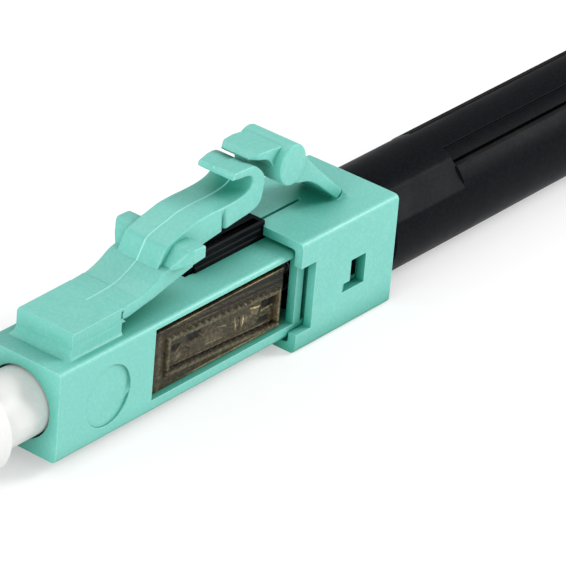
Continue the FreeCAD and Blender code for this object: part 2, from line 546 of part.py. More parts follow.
def make_splice_holder():
    """The amber carrier seen in the windows: a channel with a raised frame each side."""
    body = new_body("splice_holder")
    half = f"({CAVITY_HALF} - holder_gap - holder_side)"
    low = f"({CAVITY_FLOOR} + holder_gap)"
    block = rectangle(sketch_on(body, "section", "YZ_Plane", "holder_front"),
                      f"-{half}", half, low, f"{low} + holder_height")
    pad(body, "block", block, "holder_length")
    frame = sketch_on(body, "frame_outline", "XZ_Plane")
    left, right = "(splice_front + 0.2)", f"({HOLDER_BACK} - 0.05)"
    foot, head = f"({low} + 0.38)", f"({low} + holder_height - 0.85)"
    rectangle(frame, left, right, foot, head)
    pad(body, "frames", frame, f"2 * ({half} + holder_side)", symmetric=True)
    channel = rectangle(sketch_on(body, "channel_section", "YZ_Plane", "splice_front - 0.1"),
                        "-splice_width / 2 - clip_wall - 0.05", "splice_width / 2 + clip_wall + 0.05",
                        "-half_height - clip_wall - 0.05", "half_height + clip_wall + 0.07")
    pocket(body, "channel", channel, "splice_length + 0.2", backwards=True)
    inside = sketch_on(body, "light_outline", "XZ_Plane")
    rectangle(inside, f"{left} + frame_border", f"{right} - frame_border",
              f"{foot} + frame_border", f"{head} - frame_border")
    pocket(body, "side_lights", inside, "2 * plug_width", symmetric=True)
    mouth = circle(sketch_on(body, "mouth_circle", "YZ_Plane", "holder_front"), "0", "0", "tail_diameter")
    pocket(body, "mouth", mouth, "splice_front - holder_front", backwards=True)
    rear = circle(sketch_on(body, "rear_circle", "YZ_Plane", HOLDER_BACK), "0", "0", "guide_hole")
    pocket(body, "rear_mouth", rear, "1")
    ledge = sketch_on(body, "ledge_section", "YZ_Plane", "holder_front - 0.1")
    for side in ("", "-"):
        rectangle(ledge, f"{side}({half} - 0.22)", f"{side}({half} + 0.1)",
                  f"{low} + holder_height - 0.42", f"{low} + holder_height + 0.1")
    pocket(body, "ledges", ledge, "holder_length + 0.2", backwards=True)
    return body


def make_splice_half(name, upper):
    """One half of the splice; the lower one has the groove that lines up the fibres."""
    body = new_body(name)
    split = "fibre_diameter / 2 + 0.01" if upper else "fibre_diameter / 2"
    far = "half_height" if upper else "-half_height"
    section = rectangle(sketch_on(body, "section", "YZ_Plane", "splice_front"),
                        "-splice_width / 2", "splice_width / 2", split, far)
    pad(body, "bar", section, "splice_length")
    if not upper:
        groove = outline(sketch_on(body, "groove_section", "YZ_Plane", "splice_front - 0.1"), [
            ("0", "-fibre_diameter / 2 * sqrt(2) - 0.002"),
            ("fibre_diameter * 1.25", "fibre_diameter / 2 + 0.01"),
            ("-fibre_diameter * 1.25", "fibre_diameter / 2 + 0.01")])
        pocket(body, "groove", groove, "splice_length + 0.2", backwards=True)
    return body


def make_splice_clip():
    """The C-shaped spring that squeezes the two splice halves together."""
    body = new_body("splice_clip")
    gap = "0.01"
    outer = rectangle(sketch_on(body, "outer_section", "YZ_Plane", "clip_front"),
                      f"-splice_width / 2 - {gap} - clip_wall", f"splice_width / 2 + {gap} + clip_wall",
                      f"-half_height - {gap} - clip_wall", f"half_height + {gap} + clip_wall")
    pad(body, "band", outer, "clip_length")
    inner = rectangle(sketch_on(body, "inner_section", "YZ_Plane", "clip_front"),
                      f"-splice_width / 2 - {gap}", f"splice_width / 2 + {gap}",
                      f"-half_height - {gap}", f"half_height + {gap}")
    pocket(body, "hollow", inner, "clip_length + 1", backwards=True)
    slot = rectangle(sketch_on(body, "slot_outline", "XZ_Plane"),
                     "clip_front - 1", "clip_front + clip_length + 1", "-0.25", "0.25")
    pocket(body, "open_side", slot, "splice_width", backwards=False)
    return body


def make_fibre_stub():
    """The fibre cemented in the ferrule, reaching half way into the splice."""
    stub = doc.addObject("Part::Cylinder", "fibre_stub")
    stub.setExpression("Radius", named("fibre_diameter / 2"))
    stub.setExpression("Height", named("stub_length"))
    stub.Placement = FreeCAD.Placement(V(0, 0, 0), FreeCAD.Rotation(V(0, 1, 0), 90))
    stub.setExpression(".Placement.Base.x", named("-ferrule_tip"))
    return stub


def make_spring_seat():
    """The brass ring between the splice holder and its spring."""
    body = new_body("spring_seat")
    back = RING_BACK
    turned(body, "ring", [
        (HOLDER_BACK, "ring_hole / 2"), (HOLDER_BACK, "ring_diameter / 2 - 0.08"),
        (f"{HOLDER_BACK} + 0.08", "ring_diameter / 2"), (f"{back} - 0.2", "ring_diameter / 2"),
        (f"{back} - 0.2", "coil_diameter / 2 - wire"), (back, "coil_diameter / 2 - wire"),
        (back, "ring_hole / 2")])
    return body


def make_float_spring():
    """The compression spring that pushes the ferrule forward."""
    front = size(f"{RING_BACK} - 0.2 + wire / 2")
    back = size("core_front + pocket_depth - wire / 2")
    helix = doc.addObject("Part::Helix", "spring_path")
    helix.setExpression("Radius", named("coil_diameter / 2"))
    helix.Height = back - front
    helix.Pitch = (back - front) / size("coil_turns")
    helix.Placement = FreeCAD.Placement(V(front, 0, 0), FreeCAD.Rotation(V(0, 1, 0), 90))
    section = doc.addObject("Part::Circle", "spring_section")
    section.setExpression("Radius", named("wire / 2"))
    start = helix.Placement.multVec(V(size("coil_diameter") / 2, 0, 0))
    section.Placement = FreeCAD.Placement(start, FreeCAD.Rotation(V(1, 0, 0), 90))
    doc.recompute()
    sweep = doc.addObject("Part::Sweep", "float_spring")
    sweep.Sections = [section]
    sweep.Spine = (helix, ["Edge1"])
    sweep.Solid = True
    sweep.Frenet = True
    doc.recompute()
    return sweep


def make_inner_body():
    """The black backbone: spring pocket, catch lugs, rear spigot and the roof rail."""
    body = new_body("inner_body")
    half = f"({CAVITY_HALF} - core_gap)"
    section = rectangle(sketch_on(body, "section", "YZ_Plane", "core_front"),
                        f"-{half}", half, f"{CAVITY_FLOOR} + core_gap", f"{CAVITY_ROOF} - core_gap")
    pad(body, "block", section, "plug_length - core_front - core_gap")
    spigot = circle(sketch_on(body, "spigot_circle", "YZ_Plane", "core_front + pocket_depth"),
                    "0", "0", "spigot_diameter")
    pad(body, "spigot", spigot, "plug_length + spigot_length - core_front - pocket_depth")
    lugs = rectangle(sketch_on(body, "lug_outline", "XZ_Plane"),
                     "catch_front", "catch_front + catch_length", "-lug_height / 2", "lug_height / 2")
    pad(body, "lugs", lugs, "plug_width - 0.04", symmetric=True)

    # the rail: a plate under the roof with a rib that stands up through its slot
    under = f"({CAVITY_ROOF} - core_gap)"
    plate = rectangle(sketch_on(body, "plate_plan", "XY_Plane", under),
                      "roof_slot_front + core_gap", "core_front + 0.2", "-0.9", "0.9")
    pad(body, "plate", plate, "rail_plate", backwards=True)
    rib = rectangle(sketch_on(body, "rib_plan", "XY_Plane", f"{under} - 0.05"),
                    "roof_slot_front + core_gap", "sleeve_front - rail_back_gap",
                    "-rail_width / 2", "rail_width / 2")
    pad(body, "rib", rib, f"rail_top - {under} + 0.05")
    rounded(body, "rib_edges", "0.09", "x",
            [("rail_width / 2", "rail_top"), ("-rail_width / 2", "rail_top")])
    step = sketch_on(body, "rib_step_section", "YZ_Plane", "roof_slot_front")
    for side in ("", "-"):
        rectangle(step, f"{side}(rail_width / 2 - 0.06)", f"{side}(rail_width / 2 + 0.1)",
                  "plug_width / 2 + 0.33", "rail_top + 0.1")
    pocket(body, "rib_step", step, "sleeve_front", backwards=True)

    pit = circle(sketch_on(body, "pocket_circle", "YZ_Plane", "core_front"), "0", "0", "spring_pocket")
    pocket(body, "spring_pit", pit, "pocket_depth", backwards=True)
    guide = circle(sketch_on(body, "guide_circle", "YZ_Plane", "core_front"), "0", "0", "guide_hole")
    pocket(body, "guide_bore", guide, "plug_length + spigot_length", backwards=True)
    return body


def make_guide_tube():
    """The thin tube that leads the bare fibre from the buffer clamp to the splice."""
    body = new_body("guide_tube")
    front, back = "(core_front + 0.4)", "(plug_length + spigot_length)"
    outer, inner = "(guide_hole / 2 - 0.02)", "(guide_hole / 2 - 0.02 - guide_wall)"
    turned(body, "tube", [
        (front, inner), (front, outer), (back, outer), (back, f"{inner} + 0.12"),
        (f"{back} - 0.3", inner)])
    return body


def make_rear_barrel():
    """The black barrel: a neck in the sleeve, two flats, and a slit and rebate each side."""
    body = new_body("rear_barrel")
    web = "(barrel_front + web_length)"
    neck = "(plug_length + core_gap)"
    turned(body, "shell", [
        (neck, "spigot_diameter / 2 + 0.02"), (neck, "neck_diameter / 2 - 0.15"),
        (f"{neck} + 0.15", "neck_diameter / 2"), ("barrel_front", "neck_diameter / 2"),
        ("barrel_front", "barrel_diameter / 2 - 0.1"), ("barrel_front + 0.1", "barrel_diameter / 2"),
        ("barrel_back - end_round", "barrel_diameter / 2"),
        ("barrel_back", "barrel_diameter / 2 - end_round"), ("barrel_back", BORE_RADIUS),
        (web, BORE_RADIUS), (web, "spigot_diameter / 2 + 0.02")])
    # flats near the front, where the barrel is keyed
    flats = sketch_on(body, "flat_section", "YZ_Plane", "barrel_front")
    out, reach = "(barrel_diameter / 2 - flat_cut)", "1.4"
    for lean in ("flat_angle", "(180 - flat_angle)"):
        across, up = f"cos({lean} * 1 deg)", f"sin({lean} * 1 deg)"
        outline(flats, [
            (f"{out} * {across} - {reach} * {up}", f"{out} * {up} + {reach} * {across}"),
            (f"({out} + 1) * {across} - {reach} * {up}", f"({out} + 1) * {up} + {reach} * {across}"),
            (f"({out} + 1) * {across} + {reach} * {up}", f"({out} + 1) * {up} - {reach} * {across}"),
            (f"{out} * {across} + {reach} * {up}", f"{out} * {up} - {reach} * {across}")])
    pocket(body, "flats", flats, "flat_length", backwards=True)
    # behind them a shallow rebate beside a slit that opens the wall
    for name, angle, width, low in (
            ("rebate", "rebate_angle", "rebate_width", "(barrel_diameter / 2 - rebate_depth)"),
            ("slit", "slit_angle", "barrel_slit", f"({BORE_RADIUS} - 0.3)")):
        cut = sketch_on(body, f"{name}_section", "YZ_Plane", "barrel_front + flat_length")
        for lean in (angle, f"(180 - {angle})"):
            across, up = f"cos({lean} * 1 deg)", f"sin({lean} * 1 deg)"
            top = "(barrel_diameter / 2 + 0.5)"
            outline(cut, [
                (f"{low} * {across} - {width} / 2 * {up}", f"{low} * {up} + {width} / 2 * {across}"),
                (f"{top} * {across} - {width} / 2 * {up}", f"{top} * {up} + {width} / 2 * {across}"),
                (f"{top} * {across} + {width} / 2 * {up}", f"{top} * {up} - {width} / 2 * {across}"),
                (f"{low} * {across} + {width} / 2 * {up}", f"{low} * {up} - {width} / 2 * {across}")])
        pocket(body, f"{name}s", cut, "barrel_back - barrel_front - flat_length - 1.5", backwards=True)
    return body


def make_buffer_clamp():
    """The collet that grips the fibre's buffer: a head and a slit tapered tail."""
    body = new_body("buffer_clamp")
    back = f"({CLAMP_FRONT} + clamp_length)"
    turned(body, "collet", [
        (CLAMP_FRONT, "guide_hole / 2 - guide_wall"), (CLAMP_FRONT, f"{BORE_RADIUS} - clamp_gap"),
        (f"{CLAMP_FRONT} + clamp_head", f"{BORE_RADIUS} - clamp_gap"),
        (f"{CLAMP_FRONT} + clamp_head", "clamp_tail / 2 + 0.2"), (back, "clamp_tail / 2"),
        (back, "buffer_hole / 2"), (f"{CLAMP_FRONT} + 1.2", "buffer_hole / 2"),
        (f"{CLAMP_FRONT} + 0.9", "guide_hole / 2 - guide_wall")])
    for plane, name in (("XY_Plane", "level"), ("XZ_Plane", "upright")):
        slit = rectangle(sketch_on(body, f"{name}_slit_outline", plane),
                         f"{CLAMP_FRONT} + clamp_head + 1", f"{back} + 1", "-0.12", "0.12")
        pocket(body, f"{name}_slit", slit, "5", symmetric=True)
    return body


def make_clamp_wedge():
    """The ring that is pushed over the collet's tail to close it."""
    body = new_body("clamp_wedge")
    front = f"({CLAMP_FRONT} + clamp_length - wedge_length + 0.4)"
    turned(body, "wedge", [
        (front, "clamp_tail / 2 + 0.24"), (front, f"{BORE_RADIUS} - clamp_gap"),
        (f"{front} + wedge_length", f"{BORE_RADIUS} - clamp_gap"),
        (f"{front} + wedge_length", "buffer_hole / 2 + 0.05"),
        (f"{front} + wedge_length - 0.3", "buffer_hole / 2 + 0.05"),
        (f"{front} + wedge_length - 0.3", "clamp_tail / 2 + 0.05")])
    return body


def make_entry_bush():
    """The funnel at the barrel's rear, where the cable goes in."""
    body = new_body("entry_bush")
    front = "(barrel_back - bush_length)"
    turned(body, "funnel", [
        (front, "buffer_hole / 2 + 0.05"), (front, f"{BORE_RADIUS} - clamp_gap"),
        ("barrel_back - 0.1", f"{BORE_RADIUS} - clamp_gap"), ("barrel_back - 0.1", "entry_hole / 2"),
        ("barrel_back - entry_depth - 0.1", "entry_hole / 2"),
        (f"{front} + 0.8", "buffer_hole / 2 + 0.05")])
    return body


def make_crimp_ring():
    """The ring crimped on the backbone's spigot behind the barrel's web."""
    body = new_body("crimp_ring")
    front = "(barrel_front + web_length + clamp_gap)"
    back = "(plug_length + spigot_length)"
    inner, outer = "(spigot_diameter / 2)", f"({BORE_RADIUS} - clamp_gap)"
    turned(body, "ring", [
        (front, inner), (front, f"{outer} - 0.1"), (f"{front} + 0.1", outer),
        (f"{back} - 0.1", outer), (back, f"{outer} - 0.1"), (back, inner)])
    return body


def check_and_write(parts):
    """Stop if anything failed, then write each piece's shape under its own name."""
    doc.recompute()
    for item in doc.Objects:
        if {"Invalid", "Error"} & set(item.State):
            raise RuntimeError(f"{item.Label} failed: {item.State}")
    os.makedirs("parts", exist_ok=True)
    for item in parts:
        shape = item.Shape
        if shape.isNull() or not shape.isValid() or not shape.Solids:
            raise RuntimeError(f"{item.Label} has no valid solid")
        shape.exportStep(f"parts/{item.Label}.step")
        box = shape.BoundBox
        print(f"{item.Label}: {len(shape.Solids)} solid, {shape.Volume:.3f} mm3, "
              f"x {box.XMin:.2f} to {box.XMax:.2f}, z {box.ZMin:.2f} to {box.ZMax:.2f}")


write_sizes()
pieces = [
    make_dust_cap(), make_plug_housing(), make_latch_arm(), make_rear_sleeve(), make_trigger_lever(),
    make_ferrule(), make_ferrule_holder(), make_fibre_stub(), make_splice_holder(),
    make_splice_half("splice_base", upper=False), make_splice_half("splice_plank", upper=True),
    make_splice_clip(), make_spring_seat(), make_float_spring(), make_inner_body(),
    make_guide_tube(), make_rear_barrel(), make_crimp_ring(), make_buffer_clamp(),
    make_clamp_wedge(), make_entry_bush(),
]
check_and_write(pieces)
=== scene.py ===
"""Looks of a field-fitted LC fibre plug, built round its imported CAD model.

The frame is the CAD model's: +X back along the plug, +Z the latch side. Sizes and points
are in millimetres until a mesh is made, and the stage's are in metres. Each sub-assembly
is a class with its sizes as fields; each finish is a small frozen class.
"""

import json
import logging
import math
from collections.abc import Callable
from dataclasses import dataclass, field
from enum import Enum

import bmesh
import bpy
import numpy as np
from mathutils import Matrix, Vector


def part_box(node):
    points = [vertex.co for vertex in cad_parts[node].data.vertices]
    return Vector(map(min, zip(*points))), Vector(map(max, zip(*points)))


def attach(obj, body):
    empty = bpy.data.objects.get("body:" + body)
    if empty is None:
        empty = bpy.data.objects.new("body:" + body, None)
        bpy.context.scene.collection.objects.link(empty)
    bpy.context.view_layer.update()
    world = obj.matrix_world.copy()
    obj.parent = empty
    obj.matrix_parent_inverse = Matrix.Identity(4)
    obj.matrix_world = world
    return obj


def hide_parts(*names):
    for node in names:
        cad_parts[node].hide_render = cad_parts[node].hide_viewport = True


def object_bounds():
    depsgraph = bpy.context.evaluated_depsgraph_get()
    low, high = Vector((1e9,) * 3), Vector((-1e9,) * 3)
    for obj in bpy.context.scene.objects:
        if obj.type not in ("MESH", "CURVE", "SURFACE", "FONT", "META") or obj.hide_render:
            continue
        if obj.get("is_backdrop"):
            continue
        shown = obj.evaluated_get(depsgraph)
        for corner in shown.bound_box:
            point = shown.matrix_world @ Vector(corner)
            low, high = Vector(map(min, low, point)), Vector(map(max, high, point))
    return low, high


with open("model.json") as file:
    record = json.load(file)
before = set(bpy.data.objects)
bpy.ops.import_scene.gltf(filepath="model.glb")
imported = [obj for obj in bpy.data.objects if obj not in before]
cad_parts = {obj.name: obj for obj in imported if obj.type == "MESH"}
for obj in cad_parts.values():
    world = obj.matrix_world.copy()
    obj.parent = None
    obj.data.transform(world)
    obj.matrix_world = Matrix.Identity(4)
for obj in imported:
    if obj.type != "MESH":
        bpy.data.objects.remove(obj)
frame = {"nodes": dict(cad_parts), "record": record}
CAD_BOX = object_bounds()
MM = 0.001
# the second width is that of the painted highlight along the parting ridge
RIDGE_WIDTH, RIDGE_HIGHLIGHT_WIDTH = 0.045, 0.03
LONG_SIDE_SAMPLES, MIDDLE_CROWDING = 41, 1.7
END_INSET, END_LEAD = 0.8, 0.27
CRISP_ANGLE = 50.0
SIDE_NAME = {-1: "near", 1: "far"}
log = logging.getLogger("lc_plug")
Pair, Quad = tuple[float, float], tuple[float, float, float, float]
Colour = Place = tuple[float, float, float]
Array, Mesh, Material = np.ndarray, bpy.types.Mesh, bpy.types.Material
Piece, Node, Socket = bpy.types.Object, bpy.types.Node, bpy.types.NodeSocket


# --- surfaces

def bell(offset: Array, width: float) -> Array:
    """A soft bump that is 1 where the offset is 0: exp(-(offset / width) squared)."""
    return np.exp(-(offset / width)**2)


def arc(centre: Pair, size: float, start: float, end: float, steps: int = 9) -> list[Pair]:
    """Points of part of a circle: (x + s cos a, r + s sin a), with a in even steps.

    Args:
        centre: the circle's centre (x, r).
        size: its radius, s.
        start: the first angle, in degrees.
        end: the last angle.
        steps: how many points.
    Returns:
        The points (x, r).
    """
    a = np.radians(np.linspace(start, end, steps))
    return list(zip(centre[0] + size * np.cos(a), centre[1] + size * np.sin(a)))


def points_of(mesh: Mesh) -> Array:
    """A mesh's vertices, an array (vertices, 3)."""
    spots = np.empty(len(mesh.vertices) * 3)
    mesh.vertices.foreach_get("co", spots)
    return spots.reshape(-1, 3) / MM


def put_in(piece: Piece) -> Piece:
    """Put an object in the scene."""
    bpy.context.scene.collection.objects.link(piece)
    return piece


def give_values(mesh: Mesh, name: str, values: Array) -> None:
    """Store one value a vertex on a mesh, for its finish to read."""
    mesh.attributes.new(name, "FLOAT", "POINT").data.foreach_set("value", values)


def smooth_line(points: list[Pair], steps: int) -> Array:
    """A smooth line through points: each stretch is a cubic whose slope at a point is
    half the difference of that point's neighbours.

    Args:
        points: the (x, z) points that the line passes through.
        steps: samples a stretch.
    Returns:
        The samples (x, z), the last point included.
    """
    p = np.array(points, float)
    padded = np.vstack([2 * p[0] - p[1], p, 2 * p[-1] - p[-2]])
    t = np.linspace(0, 1, steps, endpoint=False)[None, :, None]
    a, b, c, d = (padded[k:len(p) - 1 + k][:, None, :] for k in range(4))
    line = 0.5 * (2 * b + (c - a) * t + (2 * a - 5 * b + 4 * c - d) * t**2
                  + (3 * b - a - 3 * c + d) * t**3)
    return np.vstack([line.reshape(-1, 2), p[-1]])


def along(values: list[float], steps: int) -> Array:
    """Values at the points of a smooth line, run linearly between them.

    Args:
        values: one value a point.
        steps: samples a stretch, as in smooth_line.
    Returns:
        One value a sample.
    """
    last = len(values) - 1
    return np.interp(np.linspace(0, last, last * steps + 1), np.arange(last + 1), values)


def grid_mesh(name: str, rings: Array, capped: bool = True) -> Mesh:
    """A skin over rings of points: ring i joins ring i + 1, and a fan closes each end.

    Args:
        name: the mesh's name.
        rings: an array (rings, points in a ring, 3).
        capped: whether the ends are closed.
    Returns:
        The mesh, in metres.
    """
    count, around, _ = rings.shape
    verts = rings.reshape(-1, 3)
    i, j = np.meshgrid(np.arange(count - 1), np.arange(around), indexing="ij")
    nxt = (j + 1) % around
    quads = np.stack([i * around + j, i * around + nxt, (i + 1) * around + nxt,
                      (i + 1) * around + j], -1).reshape(-1, 4)
    faces = quads.tolist()
    if capped:
        verts = np.vstack([verts, rings[0].mean(0), rings[-1].mean(0)])
        k = np.arange(around)
        pole, base, nxt = np.full(around, count * around), (count - 1) * around, (k + 1) % around
        faces += np.stack([pole, nxt, k], -1).tolist()
        faces += np.stack([pole + 1, base + k, base + nxt], -1).tolist()
    mesh = bpy.data.meshes.new(name)
    mesh.from_pydata((verts * MM).tolist(), [], faces)
    return mesh


def shaded(mesh: Mesh, angle: float) -> None:
    """Shade a mesh softly, but for edges sharper than an angle in degrees."""
    mesh.polygons.foreach_set("use_smooth", [True] * len(mesh.polygons))
    mesh.set_sharp_from_angle(angle=math.radians(angle))


def finished(mesh: Mesh, angle: float = 38.0) -> Piece:
    """An object at the origin with its normals turned outward and soft shading.

    Args:
        mesh: its mesh, placed in the frame, whose name it takes.
        angle: edges sharper than this, in degrees, stay crisp.
    Returns:
        The new object.
    """
    work = bmesh.new()
    work.from_mesh(mesh)
    bmesh.ops.remove_doubles(work, verts=work.verts, dist=1e-7)
    bmesh.ops.recalc_face_normals(work, faces=work.faces)
    work.to_mesh(mesh)
    work.free()
    shaded(mesh, angle)
    return put_in(bpy.data.objects.new(mesh.name, mesh))


def round_section(half_side: Array, half_thick: Array, corner: float) -> tuple[Array, Array]:
    """Rectangles with round corners, each a quarter circle about a centre one radius in
    from both sides. A long side's samples crowd to its middle, where a ridge may stand.

    Args:
        half_side: half each ring's width across.
        half_thick: half each ring's thickness.
        corner: the corner radius, which shrinks where the ring is thinner.
    Returns:
        The offsets across and in thickness, arrays (rings, points).
    """
    rho = np.minimum(corner, 0.98 * np.minimum(half_thick, half_side))[:, None]
    inner_side, inner_thick = half_side[:, None] - rho, half_thick[:, None] - rho
    turns = np.linspace(0, math.pi / 2, 5)[None, :]
    even = np.linspace(1, -1, LONG_SIDE_SAMPLES)[None, 1:-1]
    run = np.sign(even) * np.abs(even)**MIDDLE_CROWDING
    across, up = [], []
    for quarter, (side, lift) in enumerate(((1, 1), (-1, 1), (-1, -1), (1, -1))):
        angle = turns + quarter * math.pi / 2
        across.append(side * inner_side + rho * np.cos(angle))
        up.append(lift * inner_thick + rho * np.sin(angle))
        if quarter in (0, 2):
            across.append(run * inner_side * lift)
            up.append(lift * (inner_thick + rho) * np.ones_like(run))
    return np.hstack(across), np.hstack(up)


def strap_rings(upper: list[Pair], lower: list[Pair], half_width: list[float], corner: float,
                steps: int = 6, ridge: float = 0.0, shift: list[float] | None = None) -> Array:
    """Rings of a strap between two side lines: each is a round-cornered rectangle with
    its centre midway between the lines and their distance as its thickness. A parting
    ridge can stand along the middle of the upper side.

    Args:
        upper: points of the upper side line.
        lower: as many points of the lower side line.
        half_width: half the width at each point.
        corner: the radius of the long edges.
        steps: samples between two points.
        ridge: the parting ridge's height.
        shift: how far each point's section moves across, or None.
    Returns:
        An array (rings, points, 3).
    """
    top, bottom = smooth_line(upper, steps), smooth_line(lower, steps)
    middle, span = (top + bottom) / 2, top - bottom
    thick = np.linalg.norm(span, axis=1)
    unit = span / thick[:, None]
    across, up = round_section(along(half_width, steps), thick / 2, corner)
    up = up + ridge * bell(across, RIDGE_WIDTH) * (up > 0)
    if shift is not None:
        across = across + along(shift, steps)[:, None]
    x = middle[:, :1] + unit[:, :1] * up
    z = middle[:, 1:] + unit[:, 1:] * up
    rings = np.stack([x, across, z], -1)
    # a smaller ring closes each end, so that its edges are round as well
    for end, inner in ((0, 1), (-1, -2)):
        centre = rings[end].mean(0)
        lead = centre - rings[inner].mean(0)
        tip = centre + (rings[end] - centre) * (1 - corner * END_INSET / max(thick[end], 0.2))
        tip = tip + lead / max(np.linalg.norm(lead), 1e-9) * corner * END_LEAD
        rings = np.insert(rings, 0 if end == 0 else len(rings), tip, axis=0)
    return rings


def ridge_lit(mesh: Mesh) -> Mesh:
    """Mark the parting ridge with a lift attribute, exp(-(y / width) squared), that the plastic's
    finish turns into a painted highlight along the ridge.

    Args:
        mesh: a strap's mesh.
    Returns:
        The mesh.
    """
    give_values(mesh, "lift", bell(points_of(mesh)[:, 1], RIDGE_HIGHLIGHT_WIDTH))
    return mesh


def softened(name: str, node: str, width: float,
             reshape: Callable[[Array], Array] | None = None) -> Piece:
    """A copy of a CAD node with its loose triangles merged and its edges rounded.

    Args:
        name: the new piece's name.
        node: the CAD node that it stands for.
        width: how wide the rounding is.
        reshape: moves the copy's vertices, or None.
    Returns:
        The new object, which replaces the node.
    """
    mesh = frame["nodes"][node].data.copy()
    mesh.materials.clear()
    work = bmesh.new()
    work.from_mesh(mesh)
    bmesh.ops.remove_doubles(work, verts=work.verts, dist=2e-6)
    bmesh.ops.dissolve_degenerate(work, edges=work.edges, dist=1e-6)
    bmesh.ops.dissolve_limit(work, angle_limit=math.radians(0.6),
                             verts=work.verts, edges=work.edges)
    work.to_mesh(mesh)
    work.free()
    if reshape is not None:
        mesh.vertices.foreach_set("co", (reshape(points_of(mesh)) * MM).ravel())
        mesh.update()
    piece = put_in(bpy.data.objects.new(name, mesh))
    shaded(mesh, CRISP_ANGLE)
    bevel = piece.modifiers.new("edge_rounding", "BEVEL")
    bevel.width = width * MM
    bevel.segments = 2
    bevel.limit_method = "ANGLE"
    bevel.angle_limit = math.radians(CRISP_ANGLE)
    bevel.use_clamp_overlap = True
    bevel.miter_outer = "MITER_ARC"
    weighted = piece.modifiers.new("flat_faces", "WEIGHTED_NORMAL")
    weighted.keep_sharp = True
    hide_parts(node)
    return piece


# --- finishes

class Texture(Enum):
    """What a moulded surface was left like by its tool."""
    SATIN = "satin"
    SPARKED = "sparked"


class Nodes:
    """A short way to lay out a node tree."""

    def __init__(self, name: str) -> None:
        """Start a material with only a surface shader.

        Args:
            name: the material's name.
        """
        self.material = bpy.data.materials.new(name)
        self.material.use_nodes = True
        self.tree = self.material.node_tree
        self.shader = self.tree.nodes["Principled BSDF"]
        self.output = self.tree.nodes["Material Output"]

    def add(self, kind: str, **settings: object) -> Node:
        """Add a node and set its attributes or unlinked inputs.

        Args:
            kind: the node's type name.
            settings: attributes, or input names with spaces written as underscores.
        Returns:
            The node.
        """
        node = self.tree.nodes.new(kind)
        for key, value in settings.items():
            if hasattr(node, key):
                setattr(node, key, value)
            else:
                node.inputs[key.replace("_", " ")].default_value = value
        return node

    def link(self, out: Socket, into: Socket) -> None:
        """Join one socket to another."""
        self.tree.links.new(out, into)

    def feed(self, into: Socket, value: Socket | Colour | float) -> None:
        """Give an input a socket to read, or a plain number or colour."""
        if isinstance(value, Socket):
            self.link(value, into)
        else:
            into.default_value = (*value, 1) if isinstance(value, tuple) else value

    def surface(self, **values: Socket | Colour | list[float] | float) -> None:
        """Give the shader's inputs, named with underscores, sockets or plain values."""
        for key, value in values.items():
            self.feed(self.shader.inputs[key.replace("_", " ")], value)

    def noise(self, place: Socket, scale: float, **settings: float) -> Socket:
        """A noise texture's value at each place."""
        node = self.add("ShaderNodeTexNoise", Scale=scale, **settings)
        self.link(place, node.inputs["Vector"])
        return node.outputs["Fac"]

    def ranged(self, value: Socket, low: float, high: float, **settings: float) -> Socket:
        """A value stretched from its range low to high onto 0 to 1, or the ends given."""
        node = self.add("ShaderNodeMapRange", From_Min=low, From_Max=high, **settings)
        self.link(value, node.inputs["Value"])
        return node.outputs["Result"]

    def reckon(self, operation: str, *values: Socket | float, clamp: bool = False) -> Socket:
        """The result of a sum on sockets or numbers."""
        node = self.add("ShaderNodeMath", operation=operation, use_clamp=clamp)
        for into, value in zip(node.inputs, values):
            self.feed(into, value)
        return node.outputs[0]

    def mix(self, share: Socket, first: Socket | Colour, second: Socket | Colour) -> Socket:
        """Two colours mixed, the second by its share from 0 to 1."""
        node = self.add("ShaderNodeMix", data_type="RGBA")
        for index, value in ((0, share), (6, first), (7, second)):
            self.feed(node.inputs[index], value)
        return node.outputs[2]

    def bumped(self, height: Socket, strength: float, distance: float,
               normal: Socket | None = None) -> None:
        """Turn the shader's normal by a height.

        Args:
            height: the height's socket.
            strength: how much of it shows.
            distance: its depth.
            normal: the normal underneath, or None.
        """
        bump = self.add("ShaderNodeBump", Strength=strength, Distance=distance * MM)
        if normal:
            self.link(normal, bump.inputs["Normal"])
        self.link(height, bump.inputs["Height"])
        self.link(bump.outputs["Normal"], self.shader.inputs["Normal"])


# ranges of the painted shade mask and the painted highlight mask
PAINTED_SHADE_RANGE, PAINTED_HIGHLIGHT_RANGE, RIDGE_HIGHLIGHT_SHARE = (0.38, 0.93), (0.985, 0.85), 0.8
CLOUD_SCALE, SPARK_SCALE = 420.0, 9000.0
SPECK, SPECK_RANGE = (0.9, 0.95, 0.93), (0.42, 0.66)
ROUGH_RANGE, ROUGH_SPREAD = (0.3, 0.7), (-0.05, 0.07)


